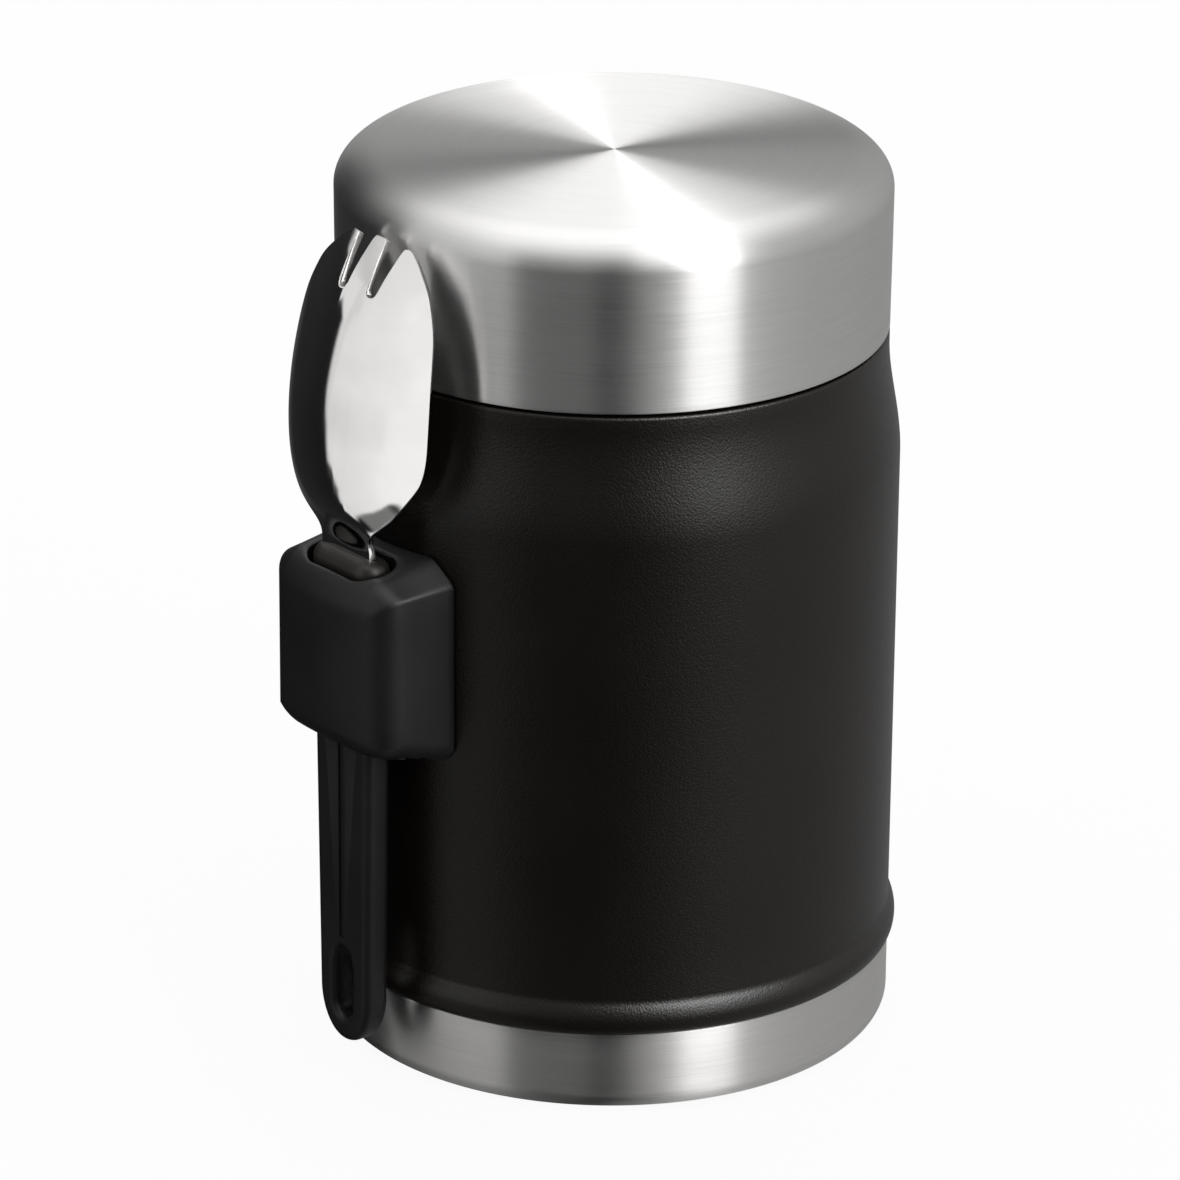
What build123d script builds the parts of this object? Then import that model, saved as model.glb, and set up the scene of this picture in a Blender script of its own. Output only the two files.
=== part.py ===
from build123d import *
import math
import os

# Insulated food jar with a spork carried on its side.
# Millimetres. Z is up from the floor, the jar's axis is the Z axis, and the spork
# side faces -Y. Radii are measured from the jar's axis.

# ---------------------------------------------------------------------------
# Driving dimensions
# ---------------------------------------------------------------------------
# whole jar
jar_height = 142.0
body_radius = 44.8          # body wall where the shoulder starts
wall_draft = 0.25           # the wall is this much narrower just above the bead
shell_wall = 0.6
inner_wall = 0.5
vacuum_gap = 3.75           # between the two walls
neck_vacuum = 2.2           # between the two walls at the neck

# base
base_height = 13.3
base_inset = 0.3            # base cup radius under the body radius
base_fillet = 3.2
cup_wall = 0.6
cup_fit = 0.1               # between the shell's foot and the cup
foot_lift = 3.5             # shell's foot above the cup's floor
groove_radius = 30.0        # pressed ring in the cup's floor
groove_width = 3.0
groove_depth = 0.3

# bead at the foot of the coated body
bead_lift = 0.1             # seam between the base cup and the bead
bead_below = 2.8            # bead's lower edge to its widest point
bead_above = 2.2            # widest point to its upper edge
bead_out = 1.05

# bottom plates
outer_plate_z = 8.2
plate_wall = 0.6
plate_flange = 3.0
bottom_gap = 5.5            # vacuum between the two bottoms
inner_corner = 8.0
dimple_radius = 4.0
solder_hole = 1.5

# getter on the outer bottom plate
getter_radius = 5.0
getter_height = 2.2
getter_offset = 18.0
clip_wall = 0.4
clip_width = 4.0
clip_foot = 4.0

# shoulder, neck and thread
lid_height = 27.3
lid_gap = 0.5
land_inset = 2.04           # shoulder's top edge inside the body radius
land_height = 2.5
shoulder_height = 17.8
ledge_width = 5.26          # flat ring under the lid
ledge_edge = 0.6
neck_margin = 1.7           # plain neck over the last ridge's middle
rim_wall = 0.8
thread_pitch = 5.0
thread_depth = 1.3
thread_root = 2.4
thread_crest = 1.2
thread_embed = 0.4          # how far a ridge's root reaches into its wall
thread_clearance = 0.4
male_start = 4.8            # first ridge above the ledge
male_turns = 1.5
female_turns = 1.25
female_first_turn = 0.1

# reflective foil sleeve
foil_wall = 0.25
foil_gap = 0.15
foil_margin = 2.0

# lid
lid_inset = 1.9             # lid radius under the body radius
cap_wall = 0.5
cap_corner_out = 6.9        # corner ellipse, across
cap_corner_down = 5.3       # corner ellipse, down
liner_fit = 0.05
liner_lift = 0.5            # liner's lower edge above the cap's lower edge
liner_ceiling = 2.0
rim_clearance = 0.8
well_wall = 1.6
mouth_clearance = 0.7
well_depth = 8.6            # well below the ceiling's underside
plug_flange = 1.2
plug_hub = 4.4
gasket_height = 2.4
gasket_gap = 0.1
gasket_side_gap = 0.25
gasket_round = 0.3
foam_gap = 0.3
foam_corner = 6.0

# holder on the body's side
holder_below_shoulder = 5.1
holder_height = 33.7
holder_half_width = 14.1
holder_gap = 0.2            # seam between holder and body
holder_stock = 4.0          # block starts this far inside the body before it is cut to fit
holder_wall = 2.65          # front and back of the pocket
holder_top_slope = 9.5      # degrees, falling outwards
holder_corner = 5.5
holder_top_fillet = 2.4
holder_bottom_fillet = 5.0
pocket_end_gap = 0.8        # pocket's mouth round the collar, at its ends
pocket_side_gap = 0.85      # and at its front and back
pocket_step = 9.1           # ledge below the holder's highest edge
sleeve_clearance = 0.4

# rail bracket behind the holder
bracket_wall = 0.8
bracket_weld = 0.02         # pad's inner face over the body wall
rail_half_width = 10.4
rail_out = 3.2              # rail's outer face beyond the body wall
rail_lip = 2.0
rail_clearance = 0.15
bracket_bottom = 6.9        # above the holder's lower edge
bracket_height = 22.0
screw_radius = 1.0
screw_head_radius = 1.6
screw_head_height = 1.3
screw_head_round = 0.4
screw_length = 6.0
screw_side = 10.4
screw_out = 2.0             # screw axis beyond the rail's outer face
screw_clearance = 0.05

# spork
handle_floor = 7.3          # handle's lower end above the floor
handle_thickness = 4.7
handle_low_half_width = 6.1
handle_high_half_width = 7.2
handle_end_height = 8.5     # half ellipse at the lower end
handle_edge = 1.5
collar_width = 15.6
collar_depth = 6.1
collar_seat_gap = 0.3
collar_height = 8.8
collar_top_fillet = 2.0
collar_wall = 1.4
collar_cap = 1.5            # collar over the top of the handle's core
slot_width = 4.2
slot_height = 11.8
slot_lift = 10.0            # slot's centre above the handle's lower end
groove_line_width = 1.2
groove_line_depth = 0.3
groove_line_margin = 1.0    # line's ends short of the slot and the collar
steel_thickness = 1.1
tang_offset = 1.05          # sheet's outer face beyond the pocket's middle
tang_half_width = 5.0
tang_length = 54.0          # below the top of the collar
neck_root = 1.0             # neck reaches this far into the collar
neck_overlap = 0.3          # and this far up into the bowl's first station
neck_half_width = 5.8
tine_slot_half_width = 0.85
tine_slot_side = 3.35
tine_slot_bottom = 8.1      # below the tine tips
tine_middle_half_width = 1.3
tine_outer_inner_side = 5.7
tine_middle_rise = 0.4      # middle tine beyond the outer ones

# ---------------------------------------------------------------------------
# Sizes that follow from them
# ---------------------------------------------------------------------------
wall_radius_low = body_radius - wall_draft
bead_bottom_z = base_height + bead_lift
bead_peak_z = bead_bottom_z + bead_below
bead_top_z = bead_peak_z + bead_above
ledge_z = jar_height - lid_height - lid_gap
land_foot_z = ledge_z - land_height
shoulder_foot_z = land_foot_z - shoulder_height
land_radius = body_radius - land_inset
neck_radius = land_radius - ledge_width
male_thread_z = ledge_z + male_start
neck_end_z = male_thread_z + male_turns * thread_pitch + neck_margin
rim_z = neck_end_z + rim_wall

cup_radius = body_radius - base_inset
foot_radius = cup_radius - cup_wall - cup_fit
foot_z = cup_wall + foot_lift
outer_plate_top = outer_plate_z + plate_wall
cavity_floor_z = outer_plate_top + bottom_gap + inner_wall
cavity_radius = wall_radius_low - shell_wall - vacuum_gap - inner_wall
mouth_radius = neck_radius - shell_wall - neck_vacuum - inner_wall

liner_bore = neck_radius + thread_depth + thread_clearance
lid_radius = body_radius - lid_inset
cap_bottom_z = ledge_z + lid_gap
cap_bore = lid_radius - cap_wall
liner_radius = cap_bore - liner_fit
liner_bottom_z = cap_bottom_z + liner_lift
ceiling_z = rim_z + rim_clearance
ceiling_top_z = ceiling_z + liner_ceiling
well_radius = mouth_radius - mouth_clearance
well_bottom_z = ceiling_z - well_depth
well_bore = well_radius - well_wall
hub_radius = well_bore - liner_fit
gasket_bottom_z = well_bottom_z - gasket_gap - gasket_height
flange_top_z = gasket_bottom_z - gasket_gap
plug_bore = hub_radius - well_wall
foam_bottom_z = flange_top_z + foam_gap

pocket_width = collar_width + 2 * pocket_end_gap
pocket_depth = collar_depth + 2 * pocket_side_gap
holder_top_z = shoulder_foot_z - holder_below_shoulder
holder_bottom_z = holder_top_z - holder_height
holder_back = body_radius + holder_gap
pocket_middle = holder_back + holder_wall + pocket_depth / 2
holder_front = holder_back + 2 * holder_wall + pocket_depth
ledge_in_pocket_z = holder_top_z - pocket_step
handle_radius_out = pocket_middle + handle_thickness / 2
collar_bottom_z = ledge_in_pocket_z + collar_seat_gap
collar_top_z = collar_bottom_z + collar_height
rail_face = body_radius + rail_out
bracket_low_z = holder_bottom_z + bracket_bottom
screw_y = -(rail_face + screw_out)
lug_outer = screw_side + screw_head_radius
lug_inner = screw_side - screw_head_radius
lug_face = rail_face + screw_out + screw_head_radius
sheet_out = pocket_middle + tang_offset
head_outline_low_z = collar_top_z - 3 * neck_root

# ---------------------------------------------------------------------------
# Small helpers
# ---------------------------------------------------------------------------


def turned(*edges):
    """Solid of revolution about Z. Edges are drawn in the (radius, z) half plane."""
    return revolve(Plane.XZ * Face(Wire(list(edges))), Axis.Z)


def ring(inner, outer, low, high):
    """Plain ring or disc (inner 0) between two heights."""
    corners = [(inner, low), (outer, low), (outer, high), (inner, high)]
    return turned(*Polyline(*corners, close=True).edges())


def ridge(root_radius, crest_radius, start_z, first_turn, turns):
    """Helical thread ridge that starts first_turn turns on from start_z."""
    low_z = start_z + first_turn * thread_pitch
    path = Helix(thread_pitch, turns * thread_pitch, crest_radius, center=(0, 0, low_z))
    corners = [
        (root_radius, low_z - thread_root / 2),
        (crest_radius, low_z - thread_crest / 2),
        (crest_radius, low_z + thread_crest / 2),
        (root_radius, low_z + thread_root / 2),
    ]
    section = Plane.XZ * Face(Wire(Polyline(*corners, close=True).edges()))
    swept = sweep(section, path=path, is_frenet=True)
    return Rot(0, 0, 360 * first_turn) * swept


def stadium(width, depth, low, high):
    """Upright prism with round ends, long way along X, centred on the pocket."""
    section = Pos(0, -pocket_middle, low) * SlotOverall(width, depth)
    return extrude(section, high - low)


def slab(half_width, near, far, low, high):
    """Block across x = 0 between two distances out from the axis."""
    size = (2 * half_width, far - near, high - low)
    return Pos(0, -(near + far) / 2, (low + high) / 2) * Box(*size)


def outwards(face):
    """Prism from a front outline drawn in (x, z), running from the axis out past the holder."""
    return extrude(Plane.XZ * face, amount=2 * body_radius, dir=(0, -1, 0))


# ---------------------------------------------------------------------------
# Body
# ---------------------------------------------------------------------------


def make_outer_shell():
    """Coated shell: foot inside the base cup, bead, wall, shoulder, ledge and neck."""
    bead_radius = wall_radius_low + bead_out
    outside = turned(
        Line((0, foot_z), (foot_radius, foot_z)),
        Line((foot_radius, foot_z), (foot_radius, bead_bottom_z)),
        Line((foot_radius, bead_bottom_z), (wall_radius_low, bead_bottom_z)),
        EllipticalCenterArc((wall_radius_low, bead_peak_z), bead_out, bead_below, -90, arc_size=90),
        EllipticalCenterArc((wall_radius_low, bead_peak_z), bead_out, bead_above, 0, arc_size=90),
        Line((wall_radius_low, bead_top_z), (body_radius, shoulder_foot_z)),
        Spline((body_radius, shoulder_foot_z), (land_radius, land_foot_z),
               tangents=[(0, 1), (0, 1)]),
        Line((land_radius, land_foot_z), (land_radius, ledge_z - ledge_edge)),
        CenterArc((land_radius - ledge_edge, ledge_z - ledge_edge), ledge_edge, 0, 90),
        Line((land_radius - ledge_edge, ledge_z), (neck_radius, ledge_z)),
        Line((neck_radius, ledge_z), (neck_radius, neck_end_z)),
        Line((neck_radius, neck_end_z), (0, neck_end_z)),
        Line((0, neck_end_z), (0, foot_z)),
    )
    foot_bore = foot_radius - shell_wall
    wall_bore = wall_radius_low - shell_wall
    upper_bore = body_radius - shell_wall
    land_bore = land_radius - shell_wall
    neck_bore = neck_radius - shell_wall
    hollow = turned(
        Line((0, foot_z), (foot_bore, foot_z)),
        Line((foot_bore, foot_z), (foot_bore, bead_bottom_z + shell_wall)),
        Line((foot_bore, bead_bottom_z + shell_wall), (wall_bore, bead_top_z)),
        Line((wall_bore, bead_top_z), (upper_bore, shoulder_foot_z)),
        Spline((upper_bore, shoulder_foot_z), (land_bore, land_foot_z),
               tangents=[(0, 1), (0, 1)]),
        Line((land_bore, land_foot_z), (land_bore, ledge_z - shell_wall)),
        Line((land_bore, ledge_z - shell_wall), (neck_bore, ledge_z - shell_wall)),
        Line((neck_bore, ledge_z - shell_wall), (neck_bore, neck_end_z)),
        Line((neck_bore, neck_end_z), (0, neck_end_z)),
        Line((0, neck_end_z), (0, foot_z)),
    )
    thread = ridge(neck_radius - thread_embed, neck_radius + thread_depth,
                   male_thread_z, 0, male_turns)
    return outside - hollow + thread


def make_inner_vessel():
    """Inner wall with its shoulder, mouth and the rim that closes the neck."""
    low_z = cavity_floor_z + inner_corner
    bend_low_z = shoulder_foot_z + foil_margin
    bend_high_z = ledge_z - foil_margin
    outer = cavity_radius + inner_wall
    mouth_outer = mouth_radius + inner_wall
    rim_round = rim_wall / 2
    return turned(
        Line((cavity_radius, low_z), (outer, low_z)),
        Line((outer, low_z), (outer, bend_low_z)),
        Spline((outer, bend_low_z), (mouth_outer, bend_high_z), tangents=[(0, 1), (0, 1)]),
        Line((mouth_outer, bend_high_z), (mouth_outer, neck_end_z)),
        Line((mouth_outer, neck_end_z), (neck_radius - rim_round, neck_end_z)),
        CenterArc((neck_radius - rim_round, neck_end_z + rim_round), rim_round, -90, 180),
        Line((neck_radius - rim_round, rim_z), (mouth_radius + rim_round, rim_z)),
        CenterArc((mouth_radius + rim_round, rim_z - rim_round), rim_round, 90, 90),
        Line((mouth_radius, rim_z - rim_round), (mouth_radius, bend_high_z)),
        Spline((mouth_radius, bend_high_z), (cavity_radius, bend_low_z), tangents=[(0, -1), (0, -1)]),
        Line((cavity_radius, bend_low_z), (cavity_radius, low_z)),
    )


def make_inner_bottom():
    """Dished floor, butt-welded to the inner wall."""
    top_z = cavity_floor_z + inner_corner
    outer = cavity_radius + inner_wall
    low_z = cavity_floor_z - inner_wall
    centre = cavity_radius - inner_corner
    return turned(
        Line((0, low_z), (centre, low_z)),
        CenterArc((centre, top_z), inner_corner + inner_wall, -90, 90),
        Line((outer, top_z), (cavity_radius, top_z)),
        CenterArc((centre, top_z), inner_corner, 0, -90),
        Line((centre, cavity_floor_z), (0, cavity_floor_z)),
        Line((0, cavity_floor_z), (0, low_z)),
    )


def make_reflective_foil():
    """Thin metal sleeve round the inner wall."""
    inner = cavity_radius + inner_wall + foil_gap
    low_z = cavity_floor_z + inner_corner + foil_margin
    return ring(inner, inner + foil_wall, low_z, shoulder_foot_z - foil_margin)


def make_outer_bottom():
    """Plate that closes the vacuum, with a turned-down flange and a soldering dimple."""
    outer = foot_radius - shell_wall
    plate = ring(0, outer, outer_plate_z, outer_plate_top)
    flange = ring(outer - plate_wall, outer, outer_plate_z - plate_flange, outer_plate_z)
    dimple = ring(0, dimple_radius + plate_wall, outer_plate_top, outer_plate_top + plate_wall)
    recess = ring(0, dimple_radius, outer_plate_z, outer_plate_top)
    hole = ring(0, solder_hole, outer_plate_z, outer_plate_top + plate_wall)
    return plate + flange + dimple - recess - hole


def make_vacuum_seal():
    """Solder bead that fills the dimple and its hole."""
    bead = ring(0, dimple_radius, outer_plate_z, outer_plate_top)
    plug = ring(0, solder_hole, outer_plate_top, outer_plate_top + plate_wall)
    return bead + plug


def make_getter():
    return Pos(getter_offset, 0, 0) * ring(
        0, getter_radius, outer_plate_top + clip_wall, outer_plate_top + clip_wall + getter_height)


def make_getter_clip():
    """Strap bent under, beside and over the pill, with two feet on the plate."""
    floor = outer_plate_top
    top = floor + 2 * clip_wall + getter_height
    reach = getter_radius + clip_wall
    strap = Box(2 * reach, clip_width, top - floor)
    inside = Box(2 * getter_radius, clip_width, getter_height)
    feet = Box(2 * (reach + clip_foot), clip_width, clip_wall)
    strap = Pos(0, 0, (floor + top) / 2) * strap - Pos(0, 0, (floor + top) / 2) * inside
    clip = strap + Pos(0, 0, floor + clip_wall / 2) * feet
    return Pos(getter_offset, 0, 0) * clip


def make_base_cup():
    """Steel cup with the visible brushed band and the floor the jar stands on."""
    inner_fillet = base_fillet - cup_wall
    cup_bore = cup_radius - cup_wall
    cup = turned(
        Line((0, 0), (cup_radius - base_fillet, 0)),
        CenterArc((cup_radius - base_fillet, base_fillet), base_fillet, -90, 90),
        Line((cup_radius, base_fillet), (cup_radius, base_height)),
        Line((cup_radius, base_height), (cup_bore, base_height)),
        Line((cup_bore, base_height), (cup_bore, base_fillet)),
        CenterArc((cup_bore - inner_fillet, base_fillet), inner_fillet, 0, -90),
        Line((cup_bore - inner_fillet, cup_wall), (0, cup_wall)),
        Line((0, cup_wall), (0, 0)),
    )
    return cup - ring(groove_radius, groove_radius + groove_width, 0, groove_depth)


# ---------------------------------------------------------------------------
# Lid
# ---------------------------------------------------------------------------


def make_lid_cap():
    """Drawn steel cap with an elliptical corner."""
    corner_out = lid_radius - cap_corner_out
    corner_z = jar_height - cap_corner_down
    inside_out = cap_corner_out - cap_wall
    inside_down = cap_corner_down - cap_wall
    return turned(
        Line((lid_radius, cap_bottom_z), (lid_radius, corner_z)),
        EllipticalCenterArc((corner_out, corner_z), cap_corner_out, cap_corner_down, 0, arc_size=90),
        Line((corner_out, jar_height), (0, jar_height)),
        Line((0, jar_height), (0, jar_height - cap_wall)),
        Line((0, jar_height - cap_wall), (corner_out, jar_height - cap_wall)),
        EllipticalCenterArc((corner_out, corner_z), inside_out, inside_down, 90, arc_size=-90),
        Line((cap_bore, corner_z), (cap_bore, cap_bottom_z)),
        Line((cap_bore, cap_bottom_z), (lid_radius, cap_bottom_z)),
    )


def make_lid_liner():
    """Plastic liner: threaded skirt, ceiling and the well that reaches into the mouth."""
    body = turned(*Polyline(
        (liner_bore, liner_bottom_z),
        (liner_radius, liner_bottom_z),
        (liner_radius, ceiling_top_z),
        (well_bore, ceiling_top_z),
        (well_bore, well_bottom_z),
        (well_radius, well_bottom_z),
        (well_radius, ceiling_z),
        (liner_bore, ceiling_z),
        close=True,
    ).edges())
    thread = ridge(liner_bore + thread_embed, liner_bore - thread_depth,
                   male_thread_z - thread_pitch / 2, female_first_turn, female_turns)
    return body + thread


def make_lid_plug():
    """Disc welded into the well's lower end. Its flange carries the gasket."""
    flange = ring(0, well_radius, flange_top_z - plug_flange, flange_top_z)
    hub = ring(plug_bore, hub_radius, flange_top_z, flange_top_z + plug_hub)
    return flange + hub


def make_lid_gasket():
    """Silicone ring between the plug's flange and the well, drawn unsqueezed."""
    inner = hub_radius + gasket_side_gap
    outer = mouth_radius - gasket_side_gap
    band = ring(inner, outer, gasket_bottom_z, gasket_bottom_z + gasket_height)
    return fillet(band.edges().filter_by(GeomType.CIRCLE), gasket_round)


def make_lid_insulation():
    """Foam that fills the plug, the well and the room above the liner's ceiling."""
    wide = cap_bore - foam_corner
    low_wide_z = ceiling_top_z + foam_gap
    top_z = jar_height - cap_wall - foam_gap
    narrow = plug_bore - foam_gap
    return turned(*Polyline(
        (0, foam_bottom_z),
        (narrow, foam_bottom_z),
        (narrow, low_wide_z),
        (wide, low_wide_z),
        (wide, top_z - foam_corner / 2),
        (wide - foam_corner / 2, top_z),
        (0, top_z),
        close=True,
    ).edges())


# ---------------------------------------------------------------------------
# Spork holder
# ---------------------------------------------------------------------------


def bracket_section(grow):
    """Rail bracket's plan outline as solids of bracket height, grown by a clearance."""
    low, high = bracket_low_z - grow, bracket_low_z + bracket_height + grow
    pad_in = body_radius + bracket_weld - grow
    pad_out = body_radius + bracket_weld + bracket_wall + grow
    pad = ring(pad_in, pad_out, low, high) & slab(rail_half_width + grow, 0, pad_out, low, high)
    web_in = rail_half_width - bracket_wall
    web_near = math.sqrt(pad_in**2 - web_in**2)
    web = slab(rail_half_width + grow, web_near, rail_face + grow, low, high)
    between = slab(web_in - grow, web_near - bracket_wall, rail_face + bracket_wall, low, high)
    lip_near = rail_face - bracket_wall - grow
    lip = slab(rail_half_width + rail_lip + grow, lip_near, rail_face + grow, low, high)
    return pad + (web + lip - between)


def lug_block(grow):
    """The two lugs at the bracket's lower end, grown by a clearance."""
    low, high = bracket_low_z - bracket_wall - grow, bracket_low_z + grow
    far = lug_face + grow
    near = body_radius - holder_gap
    block = slab(lug_outer + grow, near, far, low, high)
    return block - slab(lug_inner - grow, near - bracket_wall, far + bracket_wall, low, high)


def make_holder_bracket():
    """Rail plate spot-welded to the shell, with two screw lugs."""
    bracket = bracket_section(0) + lug_block(0)
    for side in (-1, 1):
        drill = Cylinder(screw_radius + screw_clearance, 4 * bracket_wall)
        bracket -= Pos(side * screw_side, screw_y, bracket_low_z) * drill
    return bracket


def rounded_block():
    """Holder's outer form before it is hollowed: sloping top, rounded corners, cut to the wall."""
    back = holder_back - holder_stock
    block = slab(holder_half_width, back, holder_front, holder_bottom_z, holder_top_z)
    block &= ring(0, holder_front, holder_bottom_z, holder_top_z)
    front_edges = block.edges().filter_by(Axis.Z).filter_by(lambda e: e.center().Y < -pocket_middle)
    block = fillet(front_edges, holder_corner)
    hinge_line = Pos(0, -holder_back, holder_top_z) * Rot(holder_top_slope, 0, 0)
    above = Pos(0, 0, holder_height / 2) * Box(4 * holder_front, 4 * holder_front, holder_height)
    block -= hinge_line * above

    def free_edges(face):
        return face.edges().filter_by(lambda e: e.center().Y < -back - holder_gap)

    block = fillet(free_edges(block.faces().sort_by(Axis.Z)[-1]), holder_top_fillet)
    block = fillet(free_edges(block.faces().sort_by(Axis.Z)[0]), holder_bottom_fillet)
    return block - ring(0, holder_back, holder_bottom_z, holder_top_z)


def pocket_room():
    """Wide mouth down to a ledge, then a close sleeve round the handle."""
    beyond = holder_height / 10
    mouth = stadium(pocket_width, pocket_depth, ledge_in_pocket_z, holder_top_z + beyond)
    reach = handle_thickness / 2 + sleeve_clearance
    sleeve = slab(handle_high_half_width + sleeve_clearance, pocket_middle - reach,
                  pocket_middle + reach, holder_bottom_z - beyond, ledge_in_pocket_z)
    return mouth + fillet(sleeve.edges().filter_by(Axis.Z), handle_edge)


def drop_out(shape):
    """A clearance shape together with the straight way down out of the holder."""
    lowest = shape.faces().filter_by(Axis.Z).group_by(Axis.Z)[0]
    room = shape
    for face in lowest:
        room += extrude(face, amount=2 * bracket_bottom, dir=(0, 0, -1))
    return room


def make_spork_holder():
    """Moulded sleeve: pocket for the spork, rail channel and screw pilots at the back."""
    holder = rounded_block() - pocket_room()
    holder -= drop_out(bracket_section(rail_clearance))
    holder -= drop_out(lug_block(rail_clearance))
    pilot = Cylinder(screw_radius + screw_clearance, 2 * screw_length)
    for side in (-1, 1):
        holder -= Pos(side * screw_side, screw_y, bracket_low_z) * pilot
    return holder


def make_holder_screws():
    """Two small pan-head screws, driven up through the lugs."""
    head_top = bracket_low_z - bracket_wall
    screw = Cylinder(screw_radius, screw_length, align=(Align.CENTER, Align.CENTER, Align.MIN))
    head = Cylinder(screw_head_radius, screw_head_height, align=(Align.CENTER, Align.CENTER, Align.MAX))
    head = fillet(head.edges().sort_by(Axis.Z)[0], screw_head_round)
    one = Pos(screw_side, screw_y, head_top) * (screw + head)
    return Compound(children=[one, mirror(one, Plane.YZ)])


# ---------------------------------------------------------------------------
# Spork
# ---------------------------------------------------------------------------

# The bowl's middle line from the neck to the tips: height above the collar's top,
# distance of the convex face beyond the pocket's middle, and the cross radius.
bowl_stations = [
    (1.1, tang_offset, 80.0),
    (4.1, 2.3, 32.0),
    (9.1, 5.0, 21.0),
    (15.1, 5.95, 23.0),
    (22.1, 5.65, 23.5),
    (30.1, 3.85, 24.3),
    (38.1, 0.95, 26.0),
    (44.1, -2.35, 29.0),
    (49.6, -6.4, 36.0),
]
bowl_sheet_half_width = 17.2

# Half width of the head's outline at heights above the collar's top.
outline_points = [
    (5.8, 2.6),
    (6.5, 4.4),
    (12.2, 9.2),
    (15.9, 15.0),
    (16.6, 22.0),
    (16.1, 30.0),
    (15.0, 38.0),
    (12.1, 44.1),
    (5.7, 48.6),
]


def bowl_section(height, outward, radius):
    """One level cut through the pressed sheet: a band between two arcs."""
    z = collar_top_z + height
    centre = pocket_middle + outward - radius
    angle = math.asin(bowl_sheet_half_width / radius)

    def at(r, a):
        return (r * math.sin(a), -(centre + r * math.cos(a)), z)

    inner = radius - steel_thickness
    outer_arc = ThreePointArc(at(radius, -angle), at(radius, 0), at(radius, angle))
    inner_arc = ThreePointArc(at(inner, angle), at(inner, 0), at(inner, -angle))
    ends = [Line(at(radius, angle), at(inner, angle)), Line(at(inner, -angle), at(radius, -angle))]
    return Face(Wire([outer_arc, ends[0], inner_arc, ends[1]]))


def head_outline():
    """Front outline of neck, bowl and tines as a prism that runs along Y."""
    right = [(half, collar_top_z + up) for half, up in outline_points]
    left = [(-half, z) for half, z in reversed(right)]
    tip_z = right[-1][1]
    middle_z = tip_z + tine_middle_rise
    foot = [(-neck_half_width, head_outline_low_z), (neck_half_width, head_outline_low_z)]
    middle = [(tine_middle_half_width, middle_z), (-tine_middle_half_width, middle_z)]
    edges = [
        *Polyline(left[-1], *foot, right[0]).edges(),
        Spline(*right),
        *Polyline(right[-1], *middle, left[0]).edges(),
        Spline(*left),
    ]
    return outwards(Face(Wire(edges))) - tine_slots(tip_z)


def tine_slots(tip_z):
    """Two tapered gaps with round bottoms, between the three tines."""
    low = tip_z - tine_slot_bottom + tine_slot_half_width
    high = tip_z + 2 * tine_middle_rise
    inner, outer = tine_slot_side - tine_slot_half_width, tine_slot_side + tine_slot_half_width
    widening = (high - low) / (tip_z - low)
    inner_high = inner - (inner - tine_middle_half_width) * widening
    outer_high = outer + (tine_outer_inner_side - outer) * widening
    slots = Part()
    for side in (-1, 1):
        corners = [(inner, low), (outer, low), (outer_high, high), (inner_high, high)]
        gap = Polyline(*[(side * x, z) for x, z in corners], close=True)
        slots += outwards(Face(Wire(gap.edges())))
        slots += outwards(Pos(side * tine_slot_side, low) * Circle(tine_slot_half_width))
    return slots


def make_spork_head():
    """Pressed steel head with its neck and the tang that the handle is moulded on."""
    sheet = loft([bowl_section(*station) for station in bowl_stations])
    bowl = sheet & head_outline()
    near = sheet_out - steel_thickness
    neck_low = collar_top_z - neck_root
    neck_high = collar_top_z + bowl_stations[0][0] + neck_overlap
    neck = slab(neck_half_width, near, sheet_out, neck_low, neck_high)
    tang = slab(tang_half_width, near, sheet_out, collar_top_z - tang_length, neck_low)
    return bowl + neck + tang


def handle_outline():
    """Tapered blade with a half-elliptical lower end, as a face in the XZ plane."""
    end_z = handle_floor + handle_end_height
    top_z = collar_bottom_z
    low, high = handle_low_half_width, handle_high_half_width
    edges = [
        EllipticalCenterArc((0, end_z), low, handle_end_height, 180, arc_size=180),
        Line((low, end_z), (high, top_z)),
        Line((high, top_z), (-high, top_z)),
        Line((-high, top_z), (-low, end_z)),
    ]
    return Face(Wire(edges))


def handle_core():
    """Handle's top end, inside the collar."""
    return stadium(collar_width - 2 * collar_wall, collar_depth - 2 * collar_wall,
                   collar_bottom_z, collar_top_z - collar_cap)


def make_spork_handle():
    """Handle moulded round the tang: tapered blade with a hanging slot and a groove line."""
    near = pocket_middle - handle_thickness / 2
    blade = Pos(0, -near, 0) * extrude(Plane.XZ * handle_outline(), amount=handle_thickness)
    top = blade.faces().sort_by(Axis.Z)[-1]
    blade = fillet(blade.edges() - top.edges(), handle_edge)
    slot_z = handle_floor + slot_lift
    slot = outwards(Pos(0, slot_z) * SlotOverall(slot_height, slot_width, rotation=90))
    line_low = slot_z + slot_height / 2 + groove_line_margin
    line = slab(groove_line_width / 2, handle_radius_out - groove_line_depth,
                handle_radius_out + groove_line_depth, line_low, collar_bottom_z - groove_line_margin)
    return blade + handle_core() - slot - line


def make_spork_collar():
    """Soft ring round the handle's top that grips the pocket's mouth."""
    collar = stadium(collar_width, collar_depth, collar_bottom_z, collar_top_z)
    collar = fillet(collar.edges().group_by(Axis.Z)[-1], collar_top_fillet)
    return collar - handle_core()


# ---------------------------------------------------------------------------
# Assembly
# ---------------------------------------------------------------------------


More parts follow.
